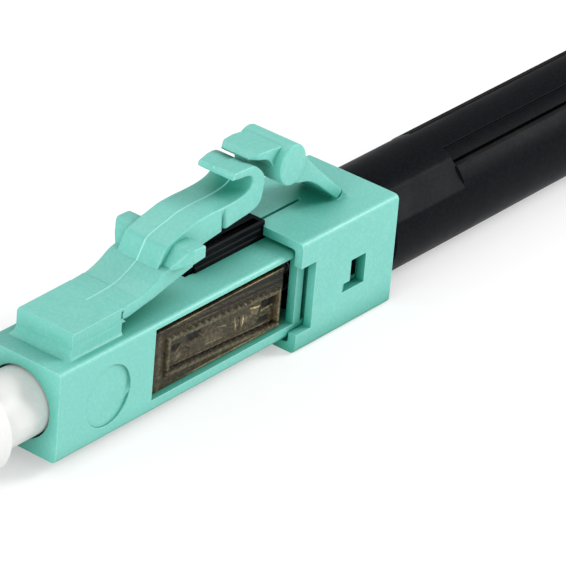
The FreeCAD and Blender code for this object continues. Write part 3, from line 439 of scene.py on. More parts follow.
@dataclass(frozen=True)
class Moulding:
    """A moulded plastic: a colour with faint clouds, fine specks and a tool texture; where a shade
    colour is given, painted shade in its hollows and painted highlights on its edges.
    """
    name: str
    colour: Colour
    roughness: float
    texture: Texture = Texture.SATIN
    cloud: float = 0.06
    speck: float = 0.05
    glow: float = 0.0
    specular: float = 0.5
    bump: float = 0.02
    speck_size: float = 0.16
    # painted light: the first colour below is painted shade for hollows, the second a painted
    # highlight for outer edges, and reach is how far ambient occlusion looks for the painted shade
    painted_shade_colour: Colour | None = None
    edge: Colour | None = None
    reach: float = 1.6
    edge_width: float = 0.05

    def add_painted_light(self, n: Nodes, colour: Socket, rounded: Socket) -> Socket:
        """Paint shade into a colour where ambient occlusion finds the surface closed in, and paint
        highlights on outer edges and along the ridge's lift line.

        Args:
            n: the node tree.
            colour: the open surface's colour.
            rounded: the normal as it would be with rounded edges.
        Returns:
            The colour's socket.
        """
        # painted shade: the colour darkens towards the shade colour where ambient occlusion finds
        # the surface closed in
        sky = n.add("ShaderNodeAmbientOcclusion", samples=6, Distance=self.reach * MM)
        unshaded_share = n.ranged(sky.outputs["AO"], *PAINTED_SHADE_RANGE)
        # painted highlight: where the rounded normal turns from the true one, the colour lightens
        # towards the edge colour
        same = n.add("ShaderNodeVectorMath", operation="DOT_PRODUCT")
        n.link(rounded, same.inputs[0])
        n.link(n.add("ShaderNodeNewGeometry").outputs["Normal"], same.inputs[1])
        outer = n.reckon("MULTIPLY", n.ranged(same.outputs["Value"], *PAINTED_HIGHLIGHT_RANGE), unshaded_share)
        # painted highlight along the parting ridge, read from the lift attribute
        line = n.add("ShaderNodeAttribute", attribute_name="lift")
        share = n.reckon("MULTIPLY_ADD", line.outputs["Fac"], RIDGE_HIGHLIGHT_SHARE, outer, clamp=True)
        return n.mix(share, n.mix(unshaded_share, self.painted_shade_colour, colour), self.edge)

    def shade(self, factor: float) -> Colour:
        """The colour made darker or lighter by a factor."""
        return tuple(min(1.0, part * factor) for part in self.colour)

    def build(self) -> Material:
        """Make the node material.

        Returns:
            The material.
        """
        n = Nodes(self.name)
        place = n.add("ShaderNodeTexCoord").outputs["Object"]
        wide = n.noise(place, CLOUD_SCALE, Detail=3.0, Roughness=0.6)
        fine = n.noise(place, 1.0 / (self.speck_size * MM), Detail=2.0)
        clouds = n.mix(wide, self.shade(1 - self.cloud), self.shade(1 + self.cloud))
        colour = n.mix(n.ranged(fine, *SPECK_RANGE, To_Max=self.speck), clouds, SPECK)
        rounded = None
        if self.painted_shade_colour is not None:
            bevel = n.add("ShaderNodeBevel", samples=4, Radius=self.edge_width * MM)
            rounded = bevel.outputs["Normal"]
            colour = self.add_painted_light(n, colour, rounded)
        low, high = (self.roughness + part for part in ROUGH_SPREAD)
        rough = n.ranged(wide, *ROUGH_RANGE, To_Min=low, To_Max=high)
        n.surface(Base_Color=colour, Roughness=rough, Specular_IOR_Level=self.specular)
        grain = fine
        if self.texture is Texture.SPARKED:
            grain = n.noise(place, SPARK_SCALE, Detail=4.0, Roughness=0.7)
        n.bumped(grain, 0.5, self.bump, rounded)
        if self.glow:
            n.surface(Subsurface_Weight=self.glow, Subsurface_Radius=[0.6, 1.0, 0.9],
                      Subsurface_Scale=0.35 * MM)
        return n.material


@dataclass(frozen=True)
class Metal:
    """A turned or drawn metal: fine lines round the plug's axis."""
    name: str
    colour: Colour
    roughness: float

    def build(self) -> Material:
        """Make the node material.

        Returns:
            The material.
        """
        n = Nodes(self.name)
        place = n.add("ShaderNodeTexCoord").outputs["Object"]
        lines = n.add("ShaderNodeTexWave", Scale=2600.0, Distortion=1.5, Detail=2.0)
        n.link(place, lines.inputs["Vector"])
        darker = tuple(0.9 * part for part in self.colour)
        n.bumped(lines.outputs["Fac"], 0.3, 0.004)
        n.surface(Base_Color=n.mix(lines.outputs["Fac"], darker, self.colour), Metallic=1.0,
                  Roughness=self.roughness)
        return n.material


@dataclass(frozen=True)
class Relief:
    """Dark amber with a glitter of light and dark grains. Each place's tone, from black
    through brown to gold, is the piece's own tone attribute with a grain added."""
    name: str
    roughness: float = 0.22
    grain: float = 0.75
    specular: float = 0.14
    stops: tuple[tuple[float, Colour], ...] = (
        (0.0, (0.001, 0.001, 0.0)), (0.25, (0.011, 0.007, 0.002)), (0.45, (0.05, 0.04, 0.019)),
        (0.62, (0.12, 0.105, 0.066)), (0.8, (0.3, 0.225, 0.08)), (1.0, (0.7, 0.56, 0.3)))

    def build(self) -> Material:
        """Make the node material.

        Returns:
            The material.
        """
        n = Nodes(self.name)
        place = n.add("ShaderNodeTexCoord").outputs["Object"]
        grain = n.noise(place, 7000.0, Detail=5.0, Roughness=0.75)
        tone = n.add("ShaderNodeAttribute", attribute_name="tone")
        stretched = n.reckon("MULTIPLY_ADD", grain, self.grain, -self.grain / 2)
        ramp = n.add("ShaderNodeValToRGB")
        while len(ramp.color_ramp.elements) < len(self.stops):
            ramp.color_ramp.elements.new(0.5)
        for element, (spot, colour) in zip(ramp.color_ramp.elements, self.stops):
            element.position = spot
            element.color = (*colour, 1)
        n.link(n.reckon("ADD", stretched, tone.outputs["Fac"]), ramp.inputs["Fac"])
        n.bumped(grain, 0.6, 0.03)
        n.surface(Base_Color=ramp.outputs["Color"], Roughness=self.roughness,
                  Specular_IOR_Level=self.specular)
        return n.material


# the aqua and the black paint shade into their hollows and highlights onto their edges
AQUA = Moulding("moulded_aqua", (0.15, 0.50, 0.43), 0.42, glow=0.05, specular=0.42,
                painted_shade_colour=(0.015, 0.24, 0.17), edge=(0.40, 0.80, 0.73))
WHITE = Moulding("moulded_white", (0.70, 0.70, 0.685), 0.5, glow=0.1, cloud=0.02, speck=0.0)
BLACK = Moulding("moulded_black", (0.0035, 0.0045, 0.006), 0.4, Texture.SPARKED, cloud=0.2,
                 speck=0.003, bump=0.01, specular=0.025, painted_shade_colour=(0.001, 0.001, 0.001),
                 edge=(0.03, 0.032, 0.036), reach=0.8)
AMBER = Moulding("moulded_amber", (0.03, 0.022, 0.011), 0.25, cloud=0.35,
                 speck=0.03, bump=0.05, speck_size=0.5, specular=0.3)
RELIEF = Relief("amber_relief")
UMBER = Moulding("moulded_umber", (0.03, 0.024, 0.014), 0.3, cloud=0.3, speck=0.02)
CLEAR_TUBE = Moulding("extruded_tube", (0.72, 0.72, 0.7), 0.25, glow=0.2, cloud=0.02, speck=0.0)
ZIRCONIA = Moulding("polished_zirconia", (0.86, 0.86, 0.83), 0.08, cloud=0.01,
                    speck=0.0, glow=0.15, bump=0.002)
GLASS_FIBRE = Moulding("glass_fibre", (0.75, 0.8, 0.82), 0.05, cloud=0.02,
                       speck=0.0, bump=0.001)
BRASS = Metal("turned_brass", (0.78, 0.52, 0.2), 0.28)
# painted shade: this steel is darkened far below bare steel to stand for the shade inside the
# housing
SHADED_STEEL = Metal("spring_steel", (0.13, 0.125, 0.12), 0.34)
PLATED = Metal("plated_ring", (0.62, 0.62, 0.6), 0.32)

CARRIED = {
    "ferrule": ZIRCONIA, "ferrule_holder": PLATED, "fibre_stub": GLASS_FIBRE,
    "splice_base": UMBER, "splice_plank": UMBER, "splice_clip": SHADED_STEEL, "spring_seat": BRASS,
    "float_spring": SHADED_STEEL, "guide_tube": CLEAR_TUBE, "crimp_ring": PLATED,
    "buffer_clamp": BLACK, "clamp_wedge": BLACK, "entry_bush": BLACK,
}


def body_of(node: str) -> str:
    """The CAD body that a node belongs to."""
    bodies = frame["record"]["behaviour"]["bodies"]
    return next(name for name, nodes in bodies.items() if node in nodes)


def dress(piece: Piece, node: str, finish: Material) -> Piece:
    """Give a piece its finish and the body that it rides on.

    Args:
        piece: the new object.
        node: the CAD node that it belongs to.
        finish: its material.
    Returns:
        The piece.
    """
    piece.data.materials.clear()
    piece.data.materials.append(finish)
    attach(piece, body_of(node))
    log.info("%s: %d faces", piece.name, len(piece.data.polygons))
    return piece


# --- sub-assemblies

@dataclass
class LatchArm:
    """The latch: a ramped arm, a raised band that ends in a forward hook, two ears."""
    arm_half: float = 1.62
    band_half: float = 1.2
    ear_half: float = 2.25
    edge: float = 0.08
    ridge: float = 0.03
    notch: Quad = (11.96, 0.1, 0.3, 5.2)
    hook_plate: Quad = (6.8, 14.3, 0.5, 0.06)
    dimple: Quad = (8.75, 4.72, 0.03, 0.07)
    block: Pair = (1.4, 4.6)
    foot: float = 2.245
    flare: Place = (0.42, 0.2, 0.55)

    def arm(self) -> Mesh:
        """The base plate from its round hinge end to the ears' rear face.

        Returns:
            The mesh.
        """
        upper = [(4.6, 3.41), (4.8, 3.43), (5.1, 3.46), (5.5, 3.5), (6.1, 3.6), (6.8, 3.86),
                 (7.45, 4.2), (8.3, 4.36), (9.36, 4.56)]
        lower = [(4.6, 2.9), (4.8, 2.86), (5.1, 2.86), (5.5, 2.92), (6.1, 3.03), (6.8, 3.14),
                 (7.45, 3.3), (8.3, 3.5), (9.36, 3.73)]
        rings = strap_rings(upper, lower, [self.arm_half] * 9, self.edge, ridge=self.ridge)
        return ridge_lit(grid_mesh("latch_arm_plate", rings))

    def band(self) -> Mesh:
        """The raised band: up a steep ramp, level, then round the curled hook.

        Returns:
            The mesh.
        """
        upper = [(7.3, 4.0), (7.46, 4.3), (7.72, 4.73), (7.94, 5.07), (8.25, 5.2), (8.9, 5.37),
                 (9.45, 5.49), (10.1, 5.63), (11.0, 5.67), (11.9, 5.66), (12.7, 5.69), (13.3, 5.8),
                 (13.62, 5.97), (13.78, 6.2), (13.74, 6.44), (13.55, 6.61), (13.2, 6.7),
                 (12.85, 6.73), (12.38, 6.78)]
        lower = [(7.7, 3.6), (8.0, 3.66), (8.4, 3.74), (8.8, 3.84), (9.1, 3.95), (9.4, 4.06),
                 (9.9, 4.16), (10.5, 4.26), (11.3, 4.37), (12.04, 4.46), (12.95, 4.58),
                 (13.85, 4.69), (14.42, 4.95), (14.62, 5.55), (14.66, 6.14), (14.36, 6.62),
                 (13.9, 6.93), (13.3, 7.02), (12.42, 7.05)]
        pull = [0.0] * 16 + [0.03, 0.1, 0.3]
        widths = [self.band_half - p / 2 for p in pull]
        rings = strap_rings(upper, lower, widths, self.edge, steps=16, ridge=self.ridge,
                            shift=[-p / 2 for p in pull])
        return ridge_lit(grid_mesh("latch_band", self.dressed(rings)))

    def dressed(self, rings: Array) -> Array:
        """The band's small marks: a bell-shaped notch down its near side, and the raised
        near half of the hook's plate.

        Args:
            rings: the band's rings.
        Returns:
            The rings with the marks.
        """
        place, width, deep, top = self.notch
        bottom, back, run, rise = self.hook_plate
        x, y, z = rings[..., 0], rings[..., 1], rings[..., 2]
        near_edge = 0.09 - self.band_half
        cut = deep * bell(x - place, width) * (y < near_edge) * (z < top)
        plate = (z > bottom) * (y < 0) * np.clip((back - x) / run, 0, 1)
        lift = rise * plate * np.clip(-y / 0.03, 0, 1)
        return np.stack([x, y + cut, z + lift], -1)

    def ears(self) -> Mesh:
        """The two ears in one bar across: a ramp in front, an upright back and a dimple
        in each end, exp(-(distance squared) / spread) deep.

        Returns:
            The mesh.
        """
        upper = [(7.78, 4.26), (8.1, 4.68), (8.4, 5.02), (8.62, 5.09), (9.1, 5.09), (9.38, 5.06)]
        lower = [(7.86, 4.08), (8.15, 4.24), (8.42, 4.34), (8.62, 4.37), (9.1, 4.42), (9.39, 4.46)]
        widths = [self.arm_half, self.ear_half - 0.32, self.ear_half - 0.1, self.ear_half,
                  self.ear_half, self.ear_half]
        rings = strap_rings(upper, lower, widths, self.edge, steps=10)
        x, y, z = rings[..., 0], rings[..., 1], rings[..., 2]
        place, height, spread, deep = self.dimple
        away = (x - place)**2 + (z - height)**2
        hollow = deep * np.exp(-away / spread) * (np.abs(y) > self.ear_half - 0.1)
        return grid_mesh("latch_ears", np.stack([x, y - np.sign(y) * hollow, z], -1))

    def build(self, finish: Material) -> None:
        """Make the latch's pieces.

        Args:
            finish: the aqua plastic.
        """
        for mesh in (self.arm(), self.band(), self.ears()):
            piece = dress(finished(mesh), "latch_arm", finish)
            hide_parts("latch_arm")
        for mesh in (self.web(), self.skirt()):
            piece = dress(finished(mesh), "plug_housing", finish)
            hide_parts("plug_housing")

    def skirt(self) -> Mesh:
        """The hollow fillet round the root block's foot: at an angle a of the quarter
        circle it stands out by r (1 - sin a) at a height of r (1 - cos a).

        Returns:
            The mesh.
        """
        front, side, tall = self.flare
        a = np.linspace(0, math.pi / 2, 9)[:, None]
        # the lowest ring lies under the roof and the highest inside the block
        out = np.vstack([[[1.3]], 1 - np.sin(a), [[-0.3]]])
        up = np.vstack([[[-0.15]], 1 - np.cos(a), [[1.15]]])
        turn = np.linspace(0, math.pi / 2, 5)[None, :]
        radius = 0.09 + 0.6 * side * np.clip(out, 0, 1)
        wide = self.arm_half + side * out
        corner_x = self.block[0] - front * out + radius * (1 - np.cos(turn))
        corner_y = wide - radius * (1 - np.sin(turn))
        rear = np.full(wide.shape, self.block[1])
        x = np.hstack([corner_x, rear, rear, corner_x[:, ::-1]])
        y = np.hstack([-corner_y, -wide, wide, corner_y[:, ::-1]])
        z = np.broadcast_to(self.foot + tall * up, x.shape)
        return grid_mesh("root_skirt", np.stack([x, y, z], -1))

    def web(self) -> Mesh:
        """The thin skin that joins the root block to the arm, with the ridge's start.

        Returns:
            The mesh.
        """
        upper = [(3.95, 3.422), (4.2, 3.45), (4.7, 3.462), (5.1, 3.492), (5.45, 3.512),
                 (5.75, 3.54)]
        lower = [(3.95, 3.38), (4.2, 3.38), (4.7, 3.39), (5.1, 3.43), (5.45, 3.45),
                 (5.75, 3.48)]
        rings = strap_rings(upper, lower, [self.arm_half - 0.01] * 6, 0.02, ridge=self.ridge)
        return ridge_lit(grid_mesh("hinge_web", rings))


@dataclass
class TriggerLever:
    """The trigger: a strap from its foot, a finger roll and a lip over the hook."""
    half: float = 1.1
    roll_half: float = 1.55
    roll_place: Pair = (16.24, 6.34)
    roll_size: Pair = (0.91, 1.02)
    roll_far: float = 1.24
    roll_soft: float = 0.1
    edge: float = 0.07
    ridge: float = 0.02

    def strap(self) -> Mesh:
        """The strap and its lip, in one run from the lip's tip to the round hinge end.

        Returns:
            The mesh.
        """
        upper = [(13.84, 7.25), (14.3, 7.375), (15.0, 7.365), (15.5, 7.3), (16.1, 7.22),
                 (16.9, 6.84), (17.6, 6.24), (18.2, 5.6), (19.1, 4.74), (20.0, 3.92), (20.52, 3.43),
                 (20.69, 3.24)]
        lower = [(13.86, 7.13), (14.3, 7.06), (14.8, 6.93), (15.2, 6.6), (15.7, 5.75),
                 (16.5, 5.2), (17.3, 4.86), (18.05, 4.66), (18.7, 4.3), (19.5, 3.63), (20.12, 3.1),
                 (20.32, 2.94)]
        widths = [self.half - 0.3, self.half - 0.06] + [self.half] * 10
        rings = strap_rings(upper, lower, widths, self.edge, steps=10, ridge=self.ridge)
        return grid_mesh("trigger_strap", rings)

    def roll(self) -> Mesh:
        """The finger roll: an oval across the strap, each end rounded by a quarter
        circle, so that the oval shrinks by 1 - sqrt(1 - s squared) towards the end.

        Returns:
            The mesh.
        """
        s = np.linspace(0, 1, 7)
        inset = self.roll_soft * (1 - np.sqrt(1 - s**2))
        out = self.roll_half - self.roll_soft + self.roll_soft * s
        y = np.concatenate([-out[::-1], [0.0], out - self.roll_half + self.roll_far])
        shrink = np.concatenate([inset[::-1], [0.0], inset])
        turn = np.linspace(0, 2 * math.pi, 48, endpoint=False)
        x = self.roll_place[0] + (self.roll_size[0] - shrink)[:, None] * np.cos(turn)
        z = self.roll_place[1] + (self.roll_size[1] - shrink)[:, None] * np.sin(turn)
        return grid_mesh("trigger_roll", np.stack([x, np.broadcast_to(y[:, None], x.shape), z], -1))

    def build(self, finish: Material) -> None:
        """Make the trigger's pieces.

        Args:
            finish: the aqua plastic.
        """
        for mesh in (self.strap(), self.roll()):
            piece = dress(finished(mesh), "trigger_lever", finish)
            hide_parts("trigger_lever")


@dataclass
class Barrel:
    """The rear barrel: a round shell with two flats, and a rebate and slit each side."""
    around: int = 192
    length: float = 22.9
    bore: float = 2.13
    throat: float = 1.62
    neck: float = 2.15
    front_round: float = 0.1
    back_round: float = 0.35
    flats_end: float = 5.5
    flat_angle: float = 39.2
    flat_half: float = 16.4
    flat_deep: float = 0.115
    cuts_end: float = 21.4
    rebate_angle: float = 61.5
    rebate_half: float = 8.0
    rebate_deep: float = 0.14
    slit_angle: float = 50.0
    slit_half: float = 0.16
    slit_deep: float = 0.75

    def depth(self, x: Array, turn: Array, radius: float, front: float) -> Array:
        """How deep the surface lies below the round at each place. On a flat it is
        R - (R - c) / cos(angle from the flat's middle), where that is positive.

        Args:
            x: places along the barrel.
            turn: angles round it, up from the near side, in radians.
            radius: its radius.
            front: where it starts.
        Returns:
            An array (places, angles).
        """
        folded = np.degrees(np.arcsin(np.clip(np.sin(turn), -1, 1)))[None, :]
        place = x[:, None]
        lean = folded - self.flat_angle
        flat = np.clip(radius - (radius - self.flat_deep) / np.cos(np.radians(lean)), 0, None)
        on_flat = (place < front + self.flats_end) & (np.abs(lean) < self.flat_half + 1.5)
        rebate = self.rebate_deep * (np.abs(folded - self.rebate_angle) < self.rebate_half)
        off = np.abs(folded - self.slit_angle) * math.pi / 180 * radius
        slit = self.slit_deep * (off < self.slit_half)
        behind = (place >= front + self.flats_end) & (place < front + self.cuts_end)
        return np.where(on_flat, flat, 0) + np.where(behind, np.maximum(rebate, slit), 0)

    def shell(self) -> Mesh:
        """A lathe profile carried round the axis, less the depth of the flats and cuts.

        Returns:
            The mesh.
        """
        low, high = (np.array(v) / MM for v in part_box("rear_barrel"))
        radius, back = high[1], high[0]
        front, tip = back - self.length, low[0]
        soft, ends = self.front_round, (self.flats_end, self.cuts_end)
        body = np.unique(np.concatenate([
            np.linspace(front + 0.12, back - 0.4, 60),
            [front + end + step for end in ends for step in (-0.01, 0.01)]]))
        profile = [(tip, self.throat), (tip, self.neck - 0.15), (tip + 0.15, self.neck),
                   (front, self.neck)]
        profile += arc((front + soft, radius - soft), soft, 180, 90, 6)
        first = len(profile)
        profile += [(place, radius) for place in body]
        last = len(profile)
        soft = self.back_round
        profile += arc((back - soft, radius - soft), soft, 90, 0, 6)
        profile += [(back, self.bore + 0.01), (back - 0.3, self.bore), (front + 1.62, self.bore),
                    (front + 1.6, self.throat)]
        profile = np.array(profile)
        turn = self.angles(radius)
        r = np.repeat(profile[:, 1:], len(turn), 1)
        r[first:last] -= self.depth(profile[first:last, 0], turn, radius, front)
        x = np.repeat(profile[:, :1], len(turn), 1)
        rings = np.stack([x, -r * np.cos(turn), r * np.sin(turn)], -1)
        rings = np.concatenate([rings, rings[:1]])
        return grid_mesh("barrel_shell", rings, capped=False)

    def angles(self, radius: float) -> Array:
        """Angles round the barrel: even ones, with a close pair at each cut's edges."""
        slit = math.degrees(self.slit_half / radius)
        edges = [self.rebate_angle - self.rebate_half, self.rebate_angle + self.rebate_half,
                 self.slit_angle - slit, self.slit_angle + slit]
        pairs = np.array([e + d for e in edges for d in (-0.15, 0.15)])
        even = np.linspace(-180, 180, self.around, endpoint=False)
        both = np.concatenate([pairs, 180 - pairs])
        far = even[np.min(np.abs(even[:, None] - both[None, :]), axis=1) > 0.5]
        return np.radians(np.sort(np.concatenate([far, both])))

    def build(self, finish: Material) -> None:
        """Make the barrel.

        Args:
            finish: the black plastic.
        """
        piece = dress(finished(self.shell(), 25), "rear_barrel", finish)
        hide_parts("rear_barrel")


@dataclass
class DustCap:
    """The cap: a lathe form with a soft flange, a faint parting line and a round end."""
    around: int = 96
    flange_back: float = -2.8
    neck: float = 1.65
    mouth: float = 0.95
    bore: float = 0.72
    bore_end: Pair = (-2.25, -2.65)

    def build(self, finish: Material) -> None:
        """Make the cap.

        Args:
            finish: the white plastic.
        """
        low, high = (np.array(v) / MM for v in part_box("dust_cap"))
        grip, tip, reach = high[1], low[0], high[0]
        inside = 0.05
        outline = (arc((tip + 0.6, grip - 0.6), 0.6, 180, 90)
                   + arc((self.flange_back - 0.15, grip - 0.15), 0.15, 90, 0)
                   + arc((self.flange_back + 0.12, self.neck + 0.12), 0.12, 180, 270)
                   + arc((reach - 0.2, self.neck - 0.2), 0.2, 90, 0))
        hollow = [(reach, self.mouth), (reach - 0.2, self.bore), (self.bore_end[0], self.bore),
                  (self.bore_end[1], inside)]
        profile = np.array([(tip, inside)] + outline + hollow)
        turn = np.linspace(0, 2 * math.pi, self.around, endpoint=False)
        ridge = 0.012 * bell(np.sin(turn), 0.02)[None, :]
        r = profile[:, 1:] + ridge * (profile[:, 1:] > 1.2) * (profile[:, 1:] < grip - 0.02)
        x = np.repeat(profile[:, :1], self.around, 1)
        rings = np.stack([x, r * np.cos(turn), r * np.sin(turn)], -1)
        cap = finished(grid_mesh("cap_moulding", rings), 40)
        piece = dress(cap, "dust_cap", finish)
        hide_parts("dust_cap")


@dataclass
class Moulded:
    """The square mouldings, which keep their CAD shape with rounded edges."""
    rounding: dict[str, float] = field(default_factory=lambda: {
        "plug_housing": 0.08, "rear_sleeve": 0.08, "inner_body": 0.04, "splice_holder": 0.04})
    wall: float = 1.8
    mark_place: Pair = (3.29, -0.116)
    mark_radius: float = 1.51
    mark_deep: Pair = (0.02, 0.115)
    mark_sunk: float = 0.22
    half: float = 2.25
    rib_front: float = 11.15

    def hollowed(self, spots: Array) -> Array:
        """The housing's round marks sunk to one depth and moved to their height, so that
        a leaning dish can stand in each.

        Args:
            spots: the vertices.
        Returns:
            The moved vertices.
        """
        moved = spots.copy()
        out = np.abs(spots[:, 1])
        away = np.hypot(spots[:, 0] - self.mark_place[0], spots[:, 2])
        within = away < self.mark_radius + 0.02
        mark = within & (out > self.half - 0.2)
        moved[mark, 2] += self.mark_place[1]
        floor = mark & (out < self.half - 0.0005)
        moved[floor, 1] = np.sign(spots[floor, 1]) * (self.half - self.mark_sunk)
        return moved

    def pressed(self, spots: Array) -> Array:
        """The carrier's sides pressed back to the wall that the side reliefs stand on."""
        moved = spots.copy()
        moved[:, 1] = np.clip(spots[:, 1], -self.wall, self.wall)
        return moved

    def shortened(self, spots: Array) -> Array:
        """The backbone's rib drawn back to where the rail starts."""
        moved = spots.copy()
        rib = (spots[:, 2] > self.half - 0.03) & (spots[:, 0] < self.rib_front)
        moved[rib, 0] = self.rib_front
        return moved

    def dish(self, side: int) -> Mesh:
        """A round dish whose floor leans: its depth grows evenly from front to rear.

        Args:
            side: -1 for the near one, 1 for the far one.
        Returns:
            The mesh.
        """
        turn = np.linspace(0, 2 * math.pi, 96, endpoint=False)
        radii = np.array([1.0, 1.0, 0.97, 0.6, 0.2]) * (self.mark_radius - 0.004)
        x = self.mark_place[0] + radii[:, None] * np.cos(turn)
        z = self.mark_place[1] + radii[:, None] * np.sin(turn)
        share = (x - self.mark_place[0] + self.mark_radius) / (2 * self.mark_radius)
        y = self.half - self.mark_deep[0] - share * (self.mark_deep[1] - self.mark_deep[0])
        y[0] = self.half - self.mark_sunk + 0.005
        return grid_mesh(f"mark_dish_{SIDE_NAME[side]}", np.stack([x, side * y, z], -1))

    def build(self, finishes: dict[str, Material]) -> None:
        """Make the rounded copies and the dishes.

        Args:
            finishes: the material of each node.
        """
        reshapes = {"plug_housing": self.hollowed, "splice_holder": self.pressed,
                    "inner_body": self.shortened}
        for node, width in self.rounding.items():
            piece = softened(f"{node}_moulding", node, width, reshapes.get(node))
            dress(piece, node, finishes[node])
        for side in SIDE_NAME:
            mesh = self.dish(side)
            dish = dress(finished(mesh), "plug_housing", finishes["plug_housing"])
            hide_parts("plug_housing")


@dataclass
class CarrierSides:
    """The amber carrier's sides, seen in the windows: each is a relief over a plate, a raised frame
    that leans down to the rear round a pane with grains, lines and patches. Painted shade darkens
    the creases along the frame's inner edges, and painted highlights brighten the plate's top edge
    and the frame's rear edge."""
    span: Pair = (6.72, 15.64)
    rise: Pair = (-1.58, 1.49)
    back: float = 1.7
    plate: float = 1.94
    lean: float = 0.0625
    frame: Quad = (7.5, 15.45, -0.97, 0.97)
    border: float = 0.2

    def pane_patches(self) -> Array:
        """The pane's patches: place along, height, half length, half height, tone, lift."""
        return np.array([
            (8.2, 0.27, 0.35, 0.14, -0.4, -0.05), (9.45, 0.45, 0.55, 0.2, -0.4, -0.06),
            (13.8, 0.26, 0.34, 0.22, 0.2, 0.06), (12.9, 0.05, 0.45, 0.22, 0.16, 0.04),
            (14.76, 0.43, 0.42, 0.24, -0.45, -0.08), (14.5, -0.36, 0.4, 0.13, -0.4, -0.05),
            (10.9, -0.1, 0.7, 0.3, 0.08, 0.02), (8.4, -0.3, 0.3, 0.2, 0.12, 0.03)])

    def pane_lines(self) -> Array:
        """Light and dark lines on the pane: start, end and tone. The long dark ones along the
        frame's inner edges are painted shade in its creases.
        """
        return np.array([
            (8.25, -0.1, 8.7, 0.3, 0.2), (7.7, 0.5, 8.1, 0.42, 0.15), (9.6, 0.62, 10.2, 0.2, 0.25),
            (12.4, 0.35, 12.5, -0.25, 0.35), (12.75, 0.3, 12.7, -0.3, -0.4),
            (13.0, 0.3, 12.95, -0.2, 0.4), (13.5, 0.5, 14.2, 0.42, 0.45),
            (14.3, 0.12, 15.1, 0.2, 0.4), (14.1, -0.1, 14.2, 0.3, -0.35),
            (8.0, -0.62, 15.0, -0.62, 0.18), (8.0, -0.7, 15.1, -0.7, -0.35),
            (7.9, 0.72, 15.1, 0.72, -0.3), (11.2, 0.3, 11.8, 0.2, 0.25),
            (10.4, -0.3, 11.6, -0.35, 0.2), (8.9, 0.1, 9.3, -0.2, -0.3)])

    def relief(self, x: Array, z: Array) -> tuple[Array, Array]:
        """Height over the plate and tone. With d the distance inside the frame's outer
        line, the frame stands where 0 < d < border and the pane lies where d is more.
        A patch adds exp(-(dx/a)^4 - (dt/b)^4), and a line a bell across it.

        Args:
            x: places along.
            z: heights.
        Returns:
            The height and the tone.
        """
        front, rear, bottom, top = self.frame
        t = z + self.lean * (x - front)
        d = np.minimum(np.minimum(x - front, rear - x), np.minimum(t - bottom, top - t))
        on = np.clip(d / 0.05 + 0.5, 0, 1)
        inner = np.clip((d - self.border) / 0.05 + 0.5, 0, 1)
        height = 0.12 * on - 0.2 * inner

        def fade(start: float, length: float) -> Array:
            """A share that grows from 0 to 1 along x."""
            return np.clip((x - start) / length, 0, 1)

        tone = 0.36 + 0.16 * on * (1 - inner) + 0.06 * inner
        above = np.clip((t - top - 0.02) / 0.06, 0, 1)
        tone -= above * (0.1 + 0.16 * fade(8, 6)) * (0.6 + 0.6 * np.sin(16 * t))
        # straight lines: tone, offset from the line, half width and where it shows; the bright
        # lines along the plate's top edge and the frame's rear edge are painted highlights, and the
        # dark line inside the frame's lower border is painted shade in its crease
        for shade, offset, width, where in (
                (0.12, x - 7.08, 0.13, 1 - on),
                (0.5, z - self.rise[1] + 0.03, 0.04, fade(6.8, 2)),
                (0.34, t - top - 0.25, 0.03, fade(7, 3)),
                (0.4, z - self.rise[0] - 0.07, 0.05, fade(8, 2)),
                (0.4, x - rear + 0.03, 0.035, on),
                (-0.3, t - bottom - self.border - 0.06, 0.05, on)):
            tone += shade * bell(offset, width) * where
        for place, up, long, tall, shade, lift in self.pane_patches():
            spot = np.exp(-((x - place) / long)**4 - ((t - up) / tall)**4) * inner
            height += lift * spot
            tone += shade * spot
        for x0, t0, x1, t1, shade in self.pane_lines():
            run = np.array([x1 - x0, t1 - t0])
            part = np.clip(((x - x0) * run[0] + (t - t0) * run[1]) / (run @ run), 0, 1)
            gap = np.hypot(x - x0 - part * run[0], t - t0 - part * run[1])
            tone += shade * bell(gap, 0.035) * inner
        wave = np.sin(7.3 * x + 5 * np.sin(4.1 * t)) * np.sin(11.0 * t + 3 * np.sin(2.7 * x))
        return height + 0.012 * wave * inner, np.clip(tone + 0.05 * wave, 0.02, 1)

    def side(self, side: int) -> Mesh:
        """One side's relief, closed behind.

        Args:
            side: -1 for the near one, 1 for the far one.
        Returns:
            The mesh, with its tone attribute.
        """
        x = np.linspace(*self.span, 300)[:, None]
        z = np.linspace(*self.rise, 110)[None, :]
        height, tone = self.relief(x, z)
        wide = np.broadcast_to(x, height.shape)
        tall = np.broadcast_to(z, height.shape)
        front = np.stack([wide, side * (self.plate + height), tall], -1)
        line = np.stack([x[:, 0], np.full(len(x), side * self.back), np.zeros(len(x))], -1)
        rear = [(line + (0, 0, edge))[:, None] for edge in self.rise[::-1]]
        mesh = grid_mesh(f"carrier_{SIDE_NAME[side]}_side", np.concatenate([front, *rear], axis=1))
        # the two lines behind and the two poles are dark
        dark = 0.2
        tones = np.hstack([tone, np.full((len(x), 2), dark)]).ravel()
        give_values(mesh, "tone", np.append(tones, [dark, dark]))
        return mesh

    def build(self, finish: Material) -> None:
        """Make both sides.

        Args:
            finish: the amber relief.
        """
        for side in SIDE_NAME:
            mesh = self.side(side)
            piece = dress(finished(mesh), "splice_holder", finish)
            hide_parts("splice_holder")


